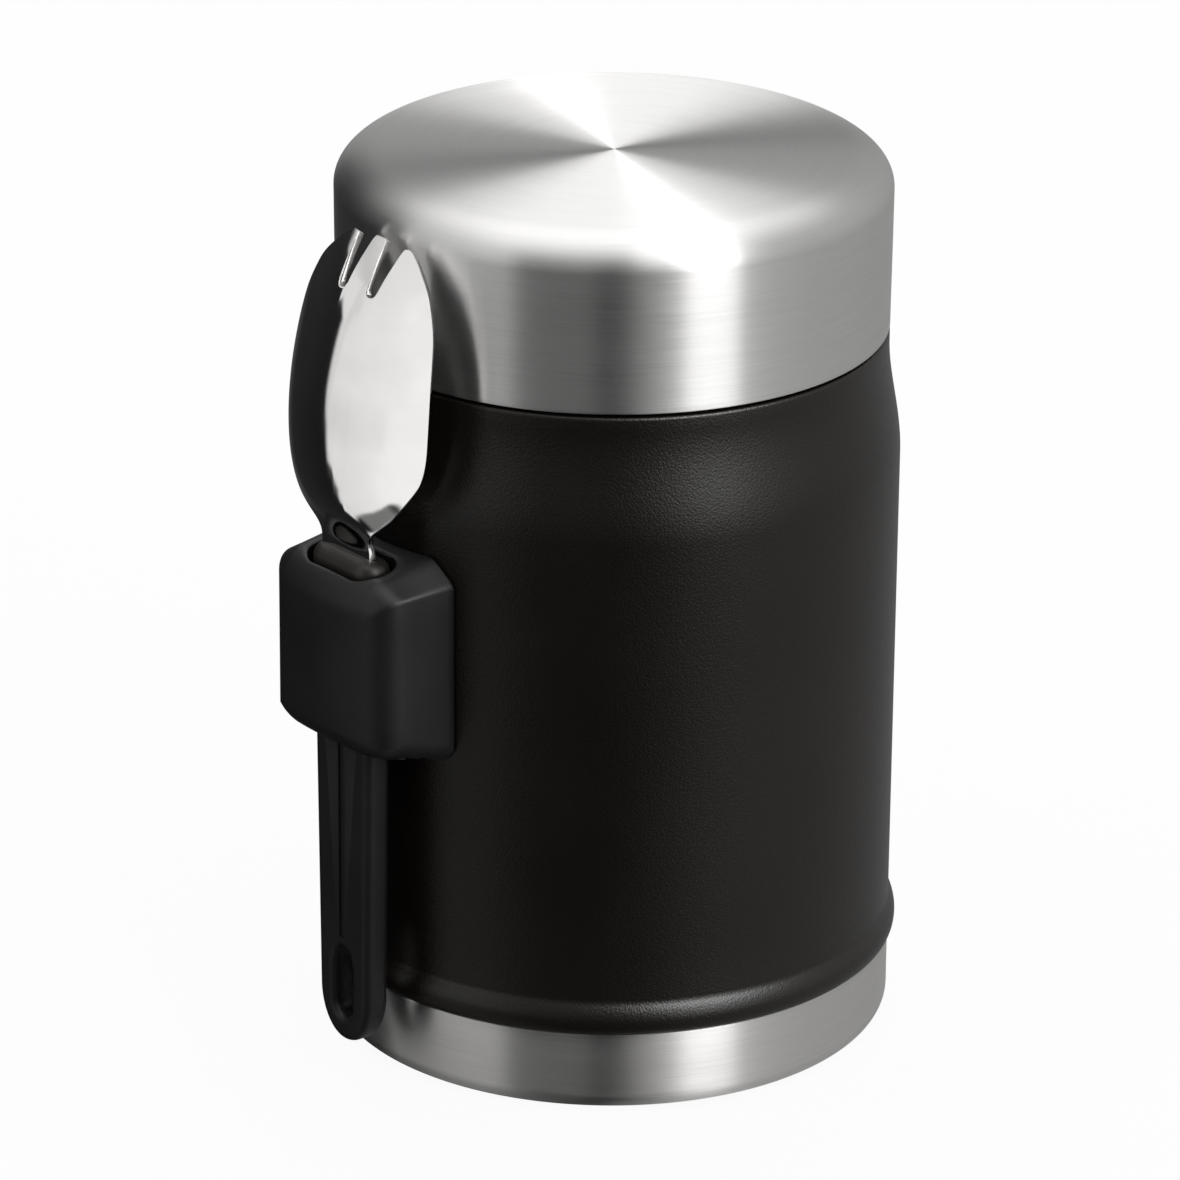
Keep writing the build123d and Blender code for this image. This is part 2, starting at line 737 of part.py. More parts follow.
def main():
    spork_head = make_spork_head()
    parts = {
        "outer_shell": make_outer_shell(),
        "inner_vessel": make_inner_vessel(),
        "inner_bottom": make_inner_bottom(),
        "reflective_foil": make_reflective_foil(),
        "outer_bottom": make_outer_bottom(),
        "vacuum_seal": make_vacuum_seal(),
        "getter": make_getter(),
        "getter_clip": make_getter_clip(),
        "base_cup": make_base_cup(),
        "lid_cap": make_lid_cap(),
        "lid_liner": make_lid_liner(),
        "lid_plug": make_lid_plug(),
        "lid_gasket": make_lid_gasket(),
        "lid_insulation": make_lid_insulation(),
        "spork_holder": make_spork_holder(),
        "holder_bracket": make_holder_bracket(),
        "holder_screws": make_holder_screws(),
        "spork_head": spork_head,
        "spork_handle": make_spork_handle() - spork_head,
        "spork_collar": make_spork_collar() - spork_head,
    }
    os.makedirs("parts", exist_ok=True)
    for name, shape in parts.items():
        export_step(shape, f"parts/{name}.step")
        print(name, "volume", round(shape.volume, 1))


main()
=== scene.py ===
# %% [markdown]
# # An insulated food jar with a spork on its side
#
# The jar is a steel vacuum flask about 142 mm tall. It has a screw-off lid of brushed steel, a black
# powder-coated body with a rolled bead near its foot, and a brushed steel base. A moulded black holder
# on its side carries a steel spork with a black handle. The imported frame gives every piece's place and
# size, so each new piece is made where its node already is.

# %% Load the frame
import math

import bmesh
import bpy
from mathutils import Matrix, Vector


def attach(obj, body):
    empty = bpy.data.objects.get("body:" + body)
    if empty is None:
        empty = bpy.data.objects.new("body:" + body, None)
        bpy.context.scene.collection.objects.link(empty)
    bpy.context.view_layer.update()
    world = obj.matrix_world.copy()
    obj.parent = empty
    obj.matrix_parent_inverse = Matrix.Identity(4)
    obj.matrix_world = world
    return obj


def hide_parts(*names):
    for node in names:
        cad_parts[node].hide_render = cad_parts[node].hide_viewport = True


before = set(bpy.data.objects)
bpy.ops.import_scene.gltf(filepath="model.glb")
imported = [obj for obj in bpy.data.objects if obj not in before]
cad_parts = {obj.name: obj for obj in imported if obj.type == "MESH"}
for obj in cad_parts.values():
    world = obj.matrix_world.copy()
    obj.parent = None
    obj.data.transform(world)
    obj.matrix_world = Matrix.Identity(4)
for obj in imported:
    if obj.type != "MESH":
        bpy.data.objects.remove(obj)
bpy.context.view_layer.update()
mm = 0.001

# %% [markdown]
# ## Camera
#
# A long lens far from the jar keeps its sides nearly parallel, as in a catalogue picture. The camera
# looks at a point on the jar's axis from a little above, turned so that the spork is at the left.
# The jar stands slightly right of the picture's middle, which a small lens shift gives.

# %% Camera
view_azimuth = math.radians(49.7)
view_elevation = math.radians(22.19)
view_roll = math.radians(0.48)
view_distance = 1172.6 * mm
aim_height = 68.3 * mm
focal_length = 228.3  # in millimetres, on a sensor 36 mm wide
picture_width = 1180  # pixels
right_of_middle = 20.6  # pixels
below_middle = 5.0  # pixels


def outwards(azimuth, rise=0.0):
    """Unit vector away from the axis, in radians round from the front and up from level."""
    return Vector((math.sin(azimuth) * math.cos(rise), -math.cos(azimuth) * math.cos(rise), math.sin(rise)))


def place_camera():
    back = outwards(view_azimuth, view_elevation)
    level = outwards(view_azimuth + math.pi / 2)
    upright = back.cross(level)
    right = level * math.cos(view_roll) + upright * math.sin(view_roll)
    up = upright * math.cos(view_roll) - level * math.sin(view_roll)
    bpy.ops.object.camera_add(location=Vector((0, 0, aim_height)) + back * view_distance)
    camera = bpy.context.object
    camera.name = "camera"
    camera.rotation_euler = Matrix((right, up, back)).transposed().to_euler()
    camera.data.sensor_width = 36
    camera.data.lens = focal_length
    camera.data.shift_x = -right_of_middle / picture_width
    camera.data.shift_y = below_middle / picture_width
    camera.data.clip_start = 0.05
    bpy.context.scene.camera = camera
    return camera


camera = place_camera()
print("camera at", [round(c, 3) for c in camera.location])

# %% [markdown]
# ## Shader sums
#
# A shader's maths is easier to read as a sum than as a list of nodes. This class wraps one socket, so
# that `a * 2 + b` and `1 - a` add the Math nodes, and `node()` adds any other kind.


# %% Shader sums
class Wire:
    """A shader value that works in Python sums."""

    def __init__(self, tree, socket=None):
        self.tree = tree
        self.socket = socket

    def node(self, kind, settings=(), sockets=(), output=0):
        """Adds a node, sets it up, plugs its sockets and returns one of its outputs."""
        made = self.tree.nodes.new("ShaderNode" + kind)
        for name, value in dict(settings).items():
            if name == "stops":
                self.set_stops(made.color_ramp, value)
            else:
                setattr(made, name, value)
        for name, value in dict(sockets).items():
            if isinstance(value, Wire):
                self.tree.links.new(value.socket, made.inputs[name])
            else:
                made.inputs[name].default_value = value
        return Wire(self.tree, made.outputs[output])

    def set_stops(self, ramp, stops):
        while len(ramp.elements) < len(stops):
            ramp.elements.new(1)
        for element, (place, colour) in zip(ramp.elements, stops):
            element.position = place
            element.color = colour

    def maths(self, operation, *values):
        return self.node("Math", {"operation": operation}, dict(enumerate(values)))

    def __add__(self, other):
        return self.maths("ADD", self, other)

    __radd__ = __add__

    def __sub__(self, other):
        return self.maths("SUBTRACT", self, other)

    def __rsub__(self, other):
        return self.maths("SUBTRACT", other, self)

    def __mul__(self, other):
        return self.maths("MULTIPLY", self, other)

    __rmul__ = __mul__

    def __truediv__(self, other):
        return self.maths("DIVIDE", self, other)

    def ease(self, low, high, at_low=0.0, at_high=1.0):
        """Smooth step from at_low to at_high while this value goes from low to high."""
        return self.node("MapRange", {"interpolation_type": "SMOOTHSTEP"},
                         {0: self, 1: low, 2: high, 3: at_low, 4: at_high})

    def plug(self, socket):
        self.tree.links.new(self.socket, socket)


def mix_colours(factor, first, second):
    return factor.node("Mix", {"data_type": "RGBA"}, {0: factor, 6: first, 7: second}, output=2)


def grey(level):
    return (level, level, level, 1)


print("shader sums ready")

# %% [markdown]
# ## Studio
#
# Polished and brushed steel have no colour of their own: they show the room. So the room is painted in
# the world with care, but only for mirror rays: a ring of pale and dark panels round the jar, with a
# wide soft light overhead. The camera sees plain white, and matt surfaces get an even grey light. The
# room's light is one function of direction, because the white wall in the next step needs it too.

# %% World
plain_light = 0.62

# Brightness round the jar for mirror rays: below the horizon, above it, and high up. Each stop is degrees
# to the right of the camera's side of the room, seen from the jar, and a level.
low_ring = [
    (-180, 0.10), (-165, 0.06), (-150, 0.02), (-95, 0.01), (-85, 0.20), (-44, 0.20), (-38, 0.02), (-8, 0.01),
    (-3, 0.0), (2, 0.0), (8, 0.01), (20, 0.05), (37, 0.20), (55, 0.30), (85, 0.34), (130, 0.30), (155, 0.28),
    (180, 0.30),
]
high_ring = [
    (-180, 0.36), (-168, 0.30), (-158, 0.03), (-97, 0.01), (-92, 0.60), (-62, 0.66), (-43, 0.74), (-38, 0.18),
    (-9, 0.22), (-5, 0.0), (3, 0.0), (8, 0.12), (16, 0.13), (25, 0.42), (33, 0.66), (60, 0.80), (85, 0.55),
    (180, 0.34),
]
upper_ring = [
    (-180, 0.50), (-160, 0.34), (-113, 0.24), (-109, 0.70), (-60, 0.70), (-40, 0.24), (8, 0.22), (15, 1.7),
    (58, 1.7), (72, 0.36), (110, 0.42), (180, 0.50),
]
low_to_high = (-16, 2)  # degrees up over which one ring fades into the next
high_to_upper = (22, 33)
upper_to_strip = (44, 58)
overhead_strip = 1.85
strip_side = (0.30, 0.62)  # where the strip fades sideways, as shares of straight right
strip_lean = math.radians(14)  # the strip hangs further down behind the jar than before it


def ring_ramp(place, ring):
    stops = [((angle + 180) / 360, grey(level)) for angle, level in ring]
    return place.node("ValToRGB", {"stops": stops}, {0: place})


def sines(angles):
    return [math.sin(math.radians(angle)) for angle in angles]


def room_light(start, direction):
    """Colour of the studio in a direction, with the place round the jar (0 to 1) and the height."""
    right, front = outwards(view_azimuth + math.pi / 2), outwards(view_azimuth)
    across = start.node("VectorMath", {"operation": "DOT_PRODUCT"}, {0: direction, 1: right}, output=1)
    towards = start.node("VectorMath", {"operation": "DOT_PRODUCT"}, {0: direction, 1: front}, output=1)
    height = start.node("SeparateXYZ", sockets={0: direction}, output=2)
    place = start.maths("ARCTAN2", across, towards) / math.tau + 0.5
    above_horizon = height.ease(*sines(low_to_high))
    walls = mix_colours(above_horizon, ring_ramp(place, low_ring), ring_ramp(place, high_ring))
    room = mix_colours(height.ease(*sines(high_to_upper)), walls, ring_ramp(place, upper_ring))
    in_strip = start.maths("ABSOLUTE", across).ease(*strip_side, 1, 0)
    lean = height * math.cos(strip_lean) - towards * math.sin(strip_lean)
    room = mix_colours(in_strip * lean.ease(*sines(upper_to_strip)), room, grey(overhead_strip))
    return room, place, height


def paint_world():
    world = bpy.data.worlds.new("studio")
    world.use_nodes = True
    bpy.context.scene.world = world
    tree = world.node_tree
    start = Wire(tree)
    room, _, _ = room_light(start, start.node("TexCoord"))
    mirror_ray = start.node("LightPath", output="Is Glossy Ray")
    glass_ray = start.node("LightPath", output="Is Transmission Ray")
    camera_ray = start.node("LightPath", output="Is Camera Ray")
    light = mix_colours(start.maths("MAXIMUM", mirror_ray, glass_ray), grey(plain_light), room)
    mix_colours(camera_ray, light, grey(1)).plug(tree.nodes["Background"].inputs["Color"])


paint_world()
print("stops round the jar:", len(low_ring), len(high_ring), len(upper_ring))

# %% [markdown]
# ## Floor and lamps
#
# The floor is white to the camera and keeps a little of the jar's shadow. Mirror rays pass it by,
# so that the steel shows the room. The lamps are large and low in power, as softboxes are. Two of them
# are shown to one piece only, as a photographer flags a lamp off the rest of the set: one for the coated
# body and one for the holder. A white wall near the jar is shown to the spork's polished head alone. It
# adds only what the room lacks there, so that its own level is what the steel shows.

# %% Floor and lamps
floor_glow = 0.93  # share of the floor's white that no shadow darkens
floor_size = 8.0  # metres
wall_radius = 3.0  # metres


def stage_piece(name, material_name):
    """Names the newest object and gives it a bare material."""
    piece = bpy.context.object
    piece.name = name
    material = bpy.data.materials.new(material_name)
    material.use_nodes = True
    piece.data.materials.append(material)
    return piece, Wire(material.node_tree), material.node_tree.nodes["Material Output"].inputs["Surface"]


def lay_floor():
    bpy.ops.mesh.primitive_plane_add(size=floor_size, location=(0, 0, 0))
    floor, start, surface = stage_piece("floor", "white_floor")
    matt = start.node("BsdfDiffuse", sockets={"Color": grey(0.9)})
    glow = start.node("Emission", sockets={"Color": grey(1), "Strength": 1})
    seen = start.node("LightPath", output="Is Camera Ray")
    start.node("MixShader", sockets={0: seen * floor_glow, 1: matt, 2: glow}).plug(surface)
    floor.visible_glossy = False


def hang_lamp(name, turn, rise, distance, width, height, power, in_mirrors, shown_to):
    """Softbox that faces the jar, turn degrees right of the camera and rise degrees up."""
    back = outwards(view_azimuth + math.radians(turn), math.radians(rise))
    bpy.ops.object.light_add(type="AREA", location=Vector((0, 0, aim_height)) + back * distance)
    lamp = bpy.context.object
    lamp.name = name
    lamp.rotation_euler = back.to_track_quat("Z", "Y").to_euler()
    lamp.data.shape = "RECTANGLE"
    lamp.data.size = width
    lamp.data.size_y = height
    lamp.data.energy = power
    lamp.visible_glossy = in_mirrors
    lamp.light_linking.receiver_collection = shown_to


# The spork stands nearest a white wall on the camera's left, which fills half of its mirror. Its far edge
# lies at a different place for each angle up or down, and its foot at a different angle down for each place.
wall_edge = [
    (-90, -102), (-50, -102), (-39, -95), (-30, -87), (-24, -87), (-19, -92), (-9, -92), (0, -96), (13, -99),
    (16, -105), (19, -121), (29, -121), (34, -97), (90, -97),
]
wall_foot = [(-180, -52), (-99, -50.5), (-62, -45), (-50, -41.5), (-40, -37), (-25, -33), (180, -33)]
edge_blur = 0.006  # half the width over which the edge fades, as a share of a turn
foot_blur = 0.008  # and the foot, as a share of half a turn


def white_wall(shown_to):
    """Sphere round the whole set that glows like a white wall in the mirror of one group of pieces only."""
    bpy.ops.mesh.primitive_uv_sphere_add(segments=48, ring_count=24, radius=wall_radius)
    wall, start, surface = stage_piece("white_wall", "white_wall")
    place_on_wall = start.node("TexCoord", output="Object")
    direction = start.node("VectorMath", {"operation": "NORMALIZE"}, {0: place_on_wall})
    room, place, height = room_light(start, direction)
    rise = start.maths("ARCSINE", height) / math.pi + 0.5
    stops = [((angle + 90) / 180, grey((edge + 180) / 360)) for angle, edge in wall_edge]
    edge = start.node("ValToRGB", {"stops": stops}, {0: rise})
    stops = [((angle + 180) / 360, grey((foot + 90) / 180)) for angle, foot in wall_foot]
    foot = place.node("ValToRGB", {"stops": stops}, {0: place})
    on_wall = (place - edge).ease(-edge_blur, edge_blur) * place.ease(0.75, 0.85, 1, 0)
    above_foot = (rise - foot).ease(-foot_blur, foot_blur)
    white = place.ease(0.24, 0.46, 0.84, 1.02)
    glow_level = start.maths("MAXIMUM", on_wall * above_foot * (white - room), 0)
    glow = start.node("Emission", sockets={"Color": grey(1), "Strength": glow_level})
    clear = start.node("BsdfTransparent")
    start.node("AddShader", sockets={0: glow, 1: clear}).plug(surface)
    for ray in ("camera", "diffuse", "transmission", "volume_scatter", "shadow"):
        setattr(wall, "visible_" + ray, False)
    wall.light_linking.receiver_collection = shown_to


lay_floor()
coated, moulded, by_the_wall = [bpy.data.collections.new(name)
                                for name in ("coated", "moulded", "by_the_wall")]
# Name, degrees round and up, distance, width and height in metres, watts, in mirrors, shown to.
for lamp in [
    ("key_softbox", 40, 24, 1.6, 0.65, 1.7, 8.0, True, None),
    ("fill_softbox", -75, 25, 1.8, 0.8, 1.2, 3.0, False, None),
    ("top_softbox", 170, 68, 1.5, 1.4, 1.0, 6.0, False, None),
    ("coat_softbox", 42, 32, 1.6, 1.1, 0.65, 14.0, True, coated),
    ("rim_softbox", 76, 36, 1.6, 0.6, 0.8, 9.0, True, moulded),
]:
    hang_lamp(*lamp)
white_wall(by_the_wall)

# %% [markdown]
# ## Finishes
#
# Every finish is a Principled shader. A value that is the same all over is set on its socket; colour,
# roughness and the normal vary over the surface with noise in Object coordinates, which are metres.


# %% A plain start for each finish
def new_finish(name, **plain):
    """Material with some sockets set all over. Returns it, its Object coordinates and its shader."""
    material = bpy.data.materials.new(name)
    material.use_nodes = True
    shader = material.node_tree.nodes["Principled BSDF"]
    for socket, value in plain.items():
        shader.inputs[socket.replace("_", " ")].default_value = value
    return material, Wire(material.node_tree).node("TexCoord", output="Object"), shader


def noise(place, size, detail=2.0, roughness=0.5):
    """Noise whose blotches are about size metres across."""
    return place.node("TexNoise", sockets={"Vector": place, "Scale": 1 / size, "Detail": detail,
                                           "Roughness": roughness})


def finish_with(shader, colour_share, dark, pale, roughness, grain, depth):
    """Plugs what varies over a surface: its colour between two shades, its roughness and its bumps."""
    mix_colours(colour_share, [*dark, 1], [*pale, 1]).plug(shader.inputs["Base Color"])
    roughness.plug(shader.inputs["Roughness"])
    bumps = grain.node("Bump", sockets={"Height": grain, "Distance": depth, "Strength": 1.0})
    bumps.plug(shader.inputs["Normal"])


def darker(tint, share):
    return [c * share for c in tint]


print("finish helpers ready")

# %% [markdown]
# ## Brushed steel
#
# The lid and the base are brushed while they turn, so the scratches run round the axis. Distance along
# the profile, height less radius, tells one scratch from the next on the wall, the corner and the top
# alike. A fine anisotropic gloss, turned a quarter, then smears reflections across the scratches:
# upright bands on the wall and a bow tie of light on the top.

# %% Brushed steel
scratch_stretch = 0.012  # how much slower the scratches change round the axis than across it
scratch_depth = 0.001 * mm
brushed_gloss = 0.37  # middle of the roughness


def brushed_steel(name, tint):
    material, place, shader = new_finish(name, Metallic=1.0, Anisotropic=1.0, Anisotropic_Rotation=0.25)
    x, y, z = [place.node("SeparateXYZ", sockets={0: place}, output=axis) for axis in range(3)]
    along = z - place.maths("SQRT", x * x + y * y)
    fine = place.node("CombineXYZ", sockets={0: x * scratch_stretch, 1: y * scratch_stretch, 2: along})
    hairlines = noise(fine, 0.15 * mm, detail=3)
    bands = noise(fine, 0.45 * mm, detail=2)
    smears = noise(place, 30 * mm, detail=1)
    roughness = hairlines.ease(0.3, 0.7) * 0.06 + bands * 0.02 + smears * 0.03 + (brushed_gloss - 0.055)
    shade = hairlines * 0.8 + bands * 0.2
    finish_with(shader, shade.ease(0.3, 0.7), darker(tint, 0.92), tint, roughness, hairlines, scratch_depth)
    return material


lid_steel = brushed_steel("brushed_lid_steel", (0.86, 0.855, 0.845))
base_steel = brushed_steel("brushed_base_steel", (0.85, 0.84, 0.825))
print("made", lid_steel.name, "and", base_steel.name)

# %% [markdown]
# ## Powder coat
#
# The body is sprayed with a black powder that melts into a film with a fine pebble grain. The grain is
# a bump: it breaks the light on the bead and the shoulder into small glints. The black is warm.


# %% Powder coat
def powder_coat():
    material, place, shader = new_finish("black_powder_coat", Specular_IOR_Level=0.5)
    grain = noise(place, 0.24 * mm, detail=2, roughness=0.6)
    pebbles = place.node("TexVoronoi", {"feature": "SMOOTH_F1"},
                         {"Vector": place, "Scale": 1 / (0.36 * mm), "Smoothness": 0.4})
    patches = noise(place, 24 * mm)
    finish_with(shader, patches.ease(0.35, 0.65), (0.0034, 0.0022, 0.0014), (0.0042, 0.0028, 0.0018),
                grain * 0.14 + patches * 0.05 + 0.23, grain * 0.5 - pebbles * 0.5, 0.055 * mm)
    return material


coat = powder_coat()
print("made", coat.name)

# %% [markdown]
# ## Plastics and soft parts
#
# The holder, the spork's handle and the lid's liner are moulded in steel tools with a fine spark
# texture, which leaves a dull, even sheen. The collar round the spork's neck is smoother and warmer.


# %% Moulded plastics
def moulded_plastic(name, dark, pale, gloss, grain_size, grain_depth, specular=0.4):
    material, place, shader = new_finish(name, Specular_IOR_Level=specular)
    grain = noise(place, grain_size, detail=3)
    patches = noise(place, 12 * mm)
    finish_with(shader, patches.ease(0.35, 0.65), dark, pale,
                grain * 0.08 + patches * 0.06 + (gloss - 0.07), grain, grain_depth)
    return material


holder_plastic = moulded_plastic("black_holder_plastic", (0.0050, 0.0051, 0.0058), (0.0064, 0.0065, 0.0074),
                                 0.44, 0.16 * mm, 0.006 * mm, specular=0.5)
handle_plastic = moulded_plastic("black_handle_plastic", (0.0052, 0.0050, 0.0050), (0.0068, 0.0066, 0.0066),
                                 0.46, 0.16 * mm, 0.005 * mm)
collar_rubber = moulded_plastic("dark_collar_rubber", (0.0150, 0.0132, 0.0106), (0.0200, 0.0176, 0.0140),
                                0.38, 0.25 * mm, 0.004 * mm, specular=0.5)
liner_plastic = moulded_plastic("black_liner_plastic", (0.012, 0.012, 0.012), (0.016, 0.016, 0.016),
                                0.42, 0.2 * mm, 0.004 * mm)
gasket_silicone = moulded_plastic("grey_silicone", (0.42, 0.43, 0.43), (0.48, 0.49, 0.49),
                                  0.45, 0.3 * mm, 0.003 * mm)
foam = moulded_plastic("white_foam", (0.72, 0.70, 0.64), (0.82, 0.80, 0.74), 0.85, 0.5 * mm, 0.08 * mm)
print("made six moulded finishes")

# %% [markdown]
# ## Other steels
#
# The spork is polished like a mirror, with faint streaks left along its length by the wheel. The
# vessel, the neck and the inner plates are plain drawn sheet.


# %% Polished and drawn steel
def polished_steel():
    material, place, shader = new_finish("polished_spork_steel", Metallic=1.0)
    stretched = place.node("Mapping", sockets={"Vector": place, "Scale": (1, 1, 0.06)})
    streaks = noise(stretched, 0.3 * mm, detail=3)
    cloud = noise(place, 9 * mm)
    finish_with(shader, cloud.ease(0.3, 0.7), (0.80, 0.79, 0.78), (0.86, 0.85, 0.84),
                streaks * 0.04 + cloud * 0.03 + 0.035, streaks, 0.0006 * mm)
    return material


def drawn_steel(name, tint, gloss):
    material, place, shader = new_finish(name, Metallic=1.0)
    flattened = place.node("Mapping", sockets={"Vector": place, "Scale": (0.05, 0.05, 1)})
    lines = noise(flattened, 0.25 * mm, detail=3)
    cloud = noise(place, 15 * mm)
    roughness = lines * 0.08 + cloud * 0.08 + (gloss - 0.08)
    finish_with(shader, cloud, darker(tint, 0.9), tint, roughness, lines, 0.002 * mm)
    return material


mirror_steel = polished_steel()
vessel_steel = drawn_steel("drawn_vessel_steel", (0.66, 0.66, 0.65), 0.30)
foil_metal = drawn_steel("bright_foil", (0.90, 0.78, 0.62), 0.22)
solder_metal = drawn_steel("dull_solder", (0.52, 0.52, 0.54), 0.45)
getter_metal = drawn_steel("sintered_getter", (0.22, 0.22, 0.23), 0.65)
screw_steel = drawn_steel("plated_screws", (0.62, 0.62, 0.60), 0.28)
print("made six metals")

# %% [markdown]
# ## Turned pieces
#
# Most of the jar is round, so its pieces could be spun, revolved with a Screw modifier or built from
# cylinders. Spinning a drawn outline is closest to how such sheet is formed over a mandrel, and it
# gives every corner its own radius. The outline starts as one vertex and is extruded point by point.

# %% Turning
turn_steps = 192  # round the axis, on pieces that show
coarse_steps = 128  # and on pieces inside the jar
seam_gap = 0.002 * mm  # vertices nearer than this are one


def start_piece(name, add, **settings):
    """Adds a primitive under its own name, with nothing else selected, and opens it in edit mode."""
    bpy.ops.object.select_all(action="DESELECT")
    add(**settings)
    piece = bpy.context.object
    piece.name = name
    bpy.ops.object.mode_set(mode="EDIT")
    return piece


def smooth_step(t):
    """0 at 0 and 1 at 1, level at both ends."""
    return t * t * (3 - 2 * t)


def arc(centre, size, start, end, steps):
    """Points on part of a circle, or of an ellipse if size is a pair. 0 degrees is outwards and 90 up."""
    across, up = size if isinstance(size, tuple) else (size, size)
    angles = [math.radians(start + (end - start) * step / steps) for step in range(steps + 1)]
    return [(centre[0] + across * math.cos(a), centre[1] + up * math.sin(a)) for a in angles]


def fillet(radius, height, size, start, end, steps):
    """Quarter circle in place of the sharp corner at a radius and height. Angles are as for arc."""
    turns = [math.radians(start), math.radians(end)]
    centre = (radius - size * sum(map(math.cos, turns)), height - size * sum(map(math.sin, turns)))
    return arc(centre, size, start, end, steps)


def s_curve(foot, top, steps):
    """S curve between two upright walls, from one (radius, height) point up to the other."""
    points = []
    for step in range(steps + 1):
        t = step / steps
        points.append((foot[0] + (top[0] - foot[0]) * smooth_step(t), foot[1] + (top[1] - foot[1]) * t))
    return points


def close_up(piece, smooth_angle=35):
    """Merges seams and poles, turns the faces outwards and shades the piece."""
    bpy.ops.mesh.select_all(action="SELECT")
    bpy.ops.mesh.remove_doubles(threshold=seam_gap)
    bpy.ops.mesh.normals_make_consistent(inside=False)
    bpy.ops.object.mode_set(mode="OBJECT")
    bpy.ops.object.shade_smooth_by_angle(angle=math.radians(smooth_angle))
    return piece


def turned(name, outline, steps=turn_steps):
    """Solid of revolution about the jar's axis, from (radius, height) points in millimetres."""
    points = [Vector((radius, 0, height)) * mm for radius, height in outline]
    if points[0].x > 0:
        points.append(points[0])
    piece = start_piece(name, bpy.ops.mesh.primitive_plane_add, size=mm)
    bpy.ops.mesh.merge(type="CENTER")
    bpy.ops.transform.translate(value=points[0])
    for before, after in zip(points, points[1:]):
        bpy.ops.mesh.extrude_region_move(TRANSFORM_OT_translate={"value": after - before})
    bpy.ops.mesh.select_all(action="SELECT")
    bpy.ops.mesh.spin(steps=steps, angle=math.tau, center=(0, 0, 0), axis=(0, 0, 1))
    return close_up(piece)


def finish_piece(piece, body, material, slot, *nodes):
    """Gives a piece its material and its body, and hides the CAD nodes that it stands for."""
    if not piece.data.materials:
        piece.data.materials.append(material)
    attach(piece, body)
    if nodes:
        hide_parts(*nodes)
    print(piece.name, "faces", len(piece.data.polygons), "size in mm",
          [round(side / mm, 1) for side in piece.dimensions])


print("turning ready, steps:", turn_steps)

# %% [markdown]
# ## Lid
#
# The cap is drawn from steel sheet: a flat top, an elliptical corner and a wall that tapers a little to
# the rounded lower edge. It is a shell with its own thickness, like the real one.

# %% Lid cap
lid_top = 142.0
lid_foot = 114.7
corner_start = 36.1
corner_low = 136.7
lid_wall_top = 42.99
lid_wall_foot = 42.79
cap_bore = 42.4
cap_wall = 0.5
lid_edge = 0.19  # rounding of the lower edge


def make_lid():
    corner = (corner_start, corner_low)
    under = lid_top - cap_wall
    outside = [(radius, lid_top) for radius in (0, 9, 20, 30, corner_start - 2)]
    outside += arc(corner, (lid_wall_top - corner_start, lid_top - corner_low), 90, 0, 18)
    outside += [(lid_wall_top - 0.06, 129), (lid_wall_foot + 0.04, 120), (lid_wall_foot, lid_foot + 1)]
    outside += arc((lid_wall_foot - lid_edge, lid_foot + lid_edge), lid_edge, 0, -180, 8)
    inside = [(cap_bore, lid_foot + 1), (cap_bore, 125)]
    inside += arc(corner, (cap_bore - corner_start, under - corner_low), 0, 90, 12)
    inside += [(20, under), (0, under)]
    return turned("lid_cap_brushed", outside + inside)


finish_piece(make_lid(), "lid", lid_steel, "brushed_steel", "lid_cap")

# %% [markdown]
# ## Body
#
# One sheet makes the coated body and the bare neck: foot, rolled bead, tapered wall, S-shaped shoulder,
# upright land, flat ledge and neck. The powder coat stops at the ledge, so the mesh has two materials.

# %% Body shell
wall_foot_radius = 44.55
body_radius = 44.8
wall_draft = body_radius - wall_foot_radius
bead_peak = (45.6, 15.6)
bead_foot = 13.4
bead_run = 3.05  # height of the flatter curve above the bead's widest point
wall_low = 19.1  # the wall is straight from here up
hidden_foot_radius = 43.8  # inside the base cup
hidden_foot_low = 4.1
shoulder_low = 93.9
land_low = 111.7
land_radius = 42.76
ledge_top = 114.2
neck_radius = 37.5
neck_top = 128.2
shell_wall = 0.6
land_edge = 0.6  # rounding between the land and the ledge
neck_bend = 0.7  # and between the ledge and the neck
bare_radius = 38.1  # the coat stops this far from the axis


def bead():
    """Rolled bead: round below, and above it a flatter curve with a small blend into the wall."""
    out = bead_peak[0] - wall_foot_radius
    below = arc((wall_foot_radius, bead_peak[1]), (out, bead_peak[1] - bead_foot), -90, 0, 10)
    blend_start, blend_length, blend_level = 0.86, 0.302, 0.26
    above = []
    for step in range(1, 17):
        t = 1.16 * step / 16
        in_blend = (t - blend_start) / blend_length
        share = 1 - t * t if in_blend < 0 else blend_level * (1 - in_blend) ** 2
        above.append((wall_foot_radius + out * share, bead_peak[1] + bead_run * t))
    return below + above


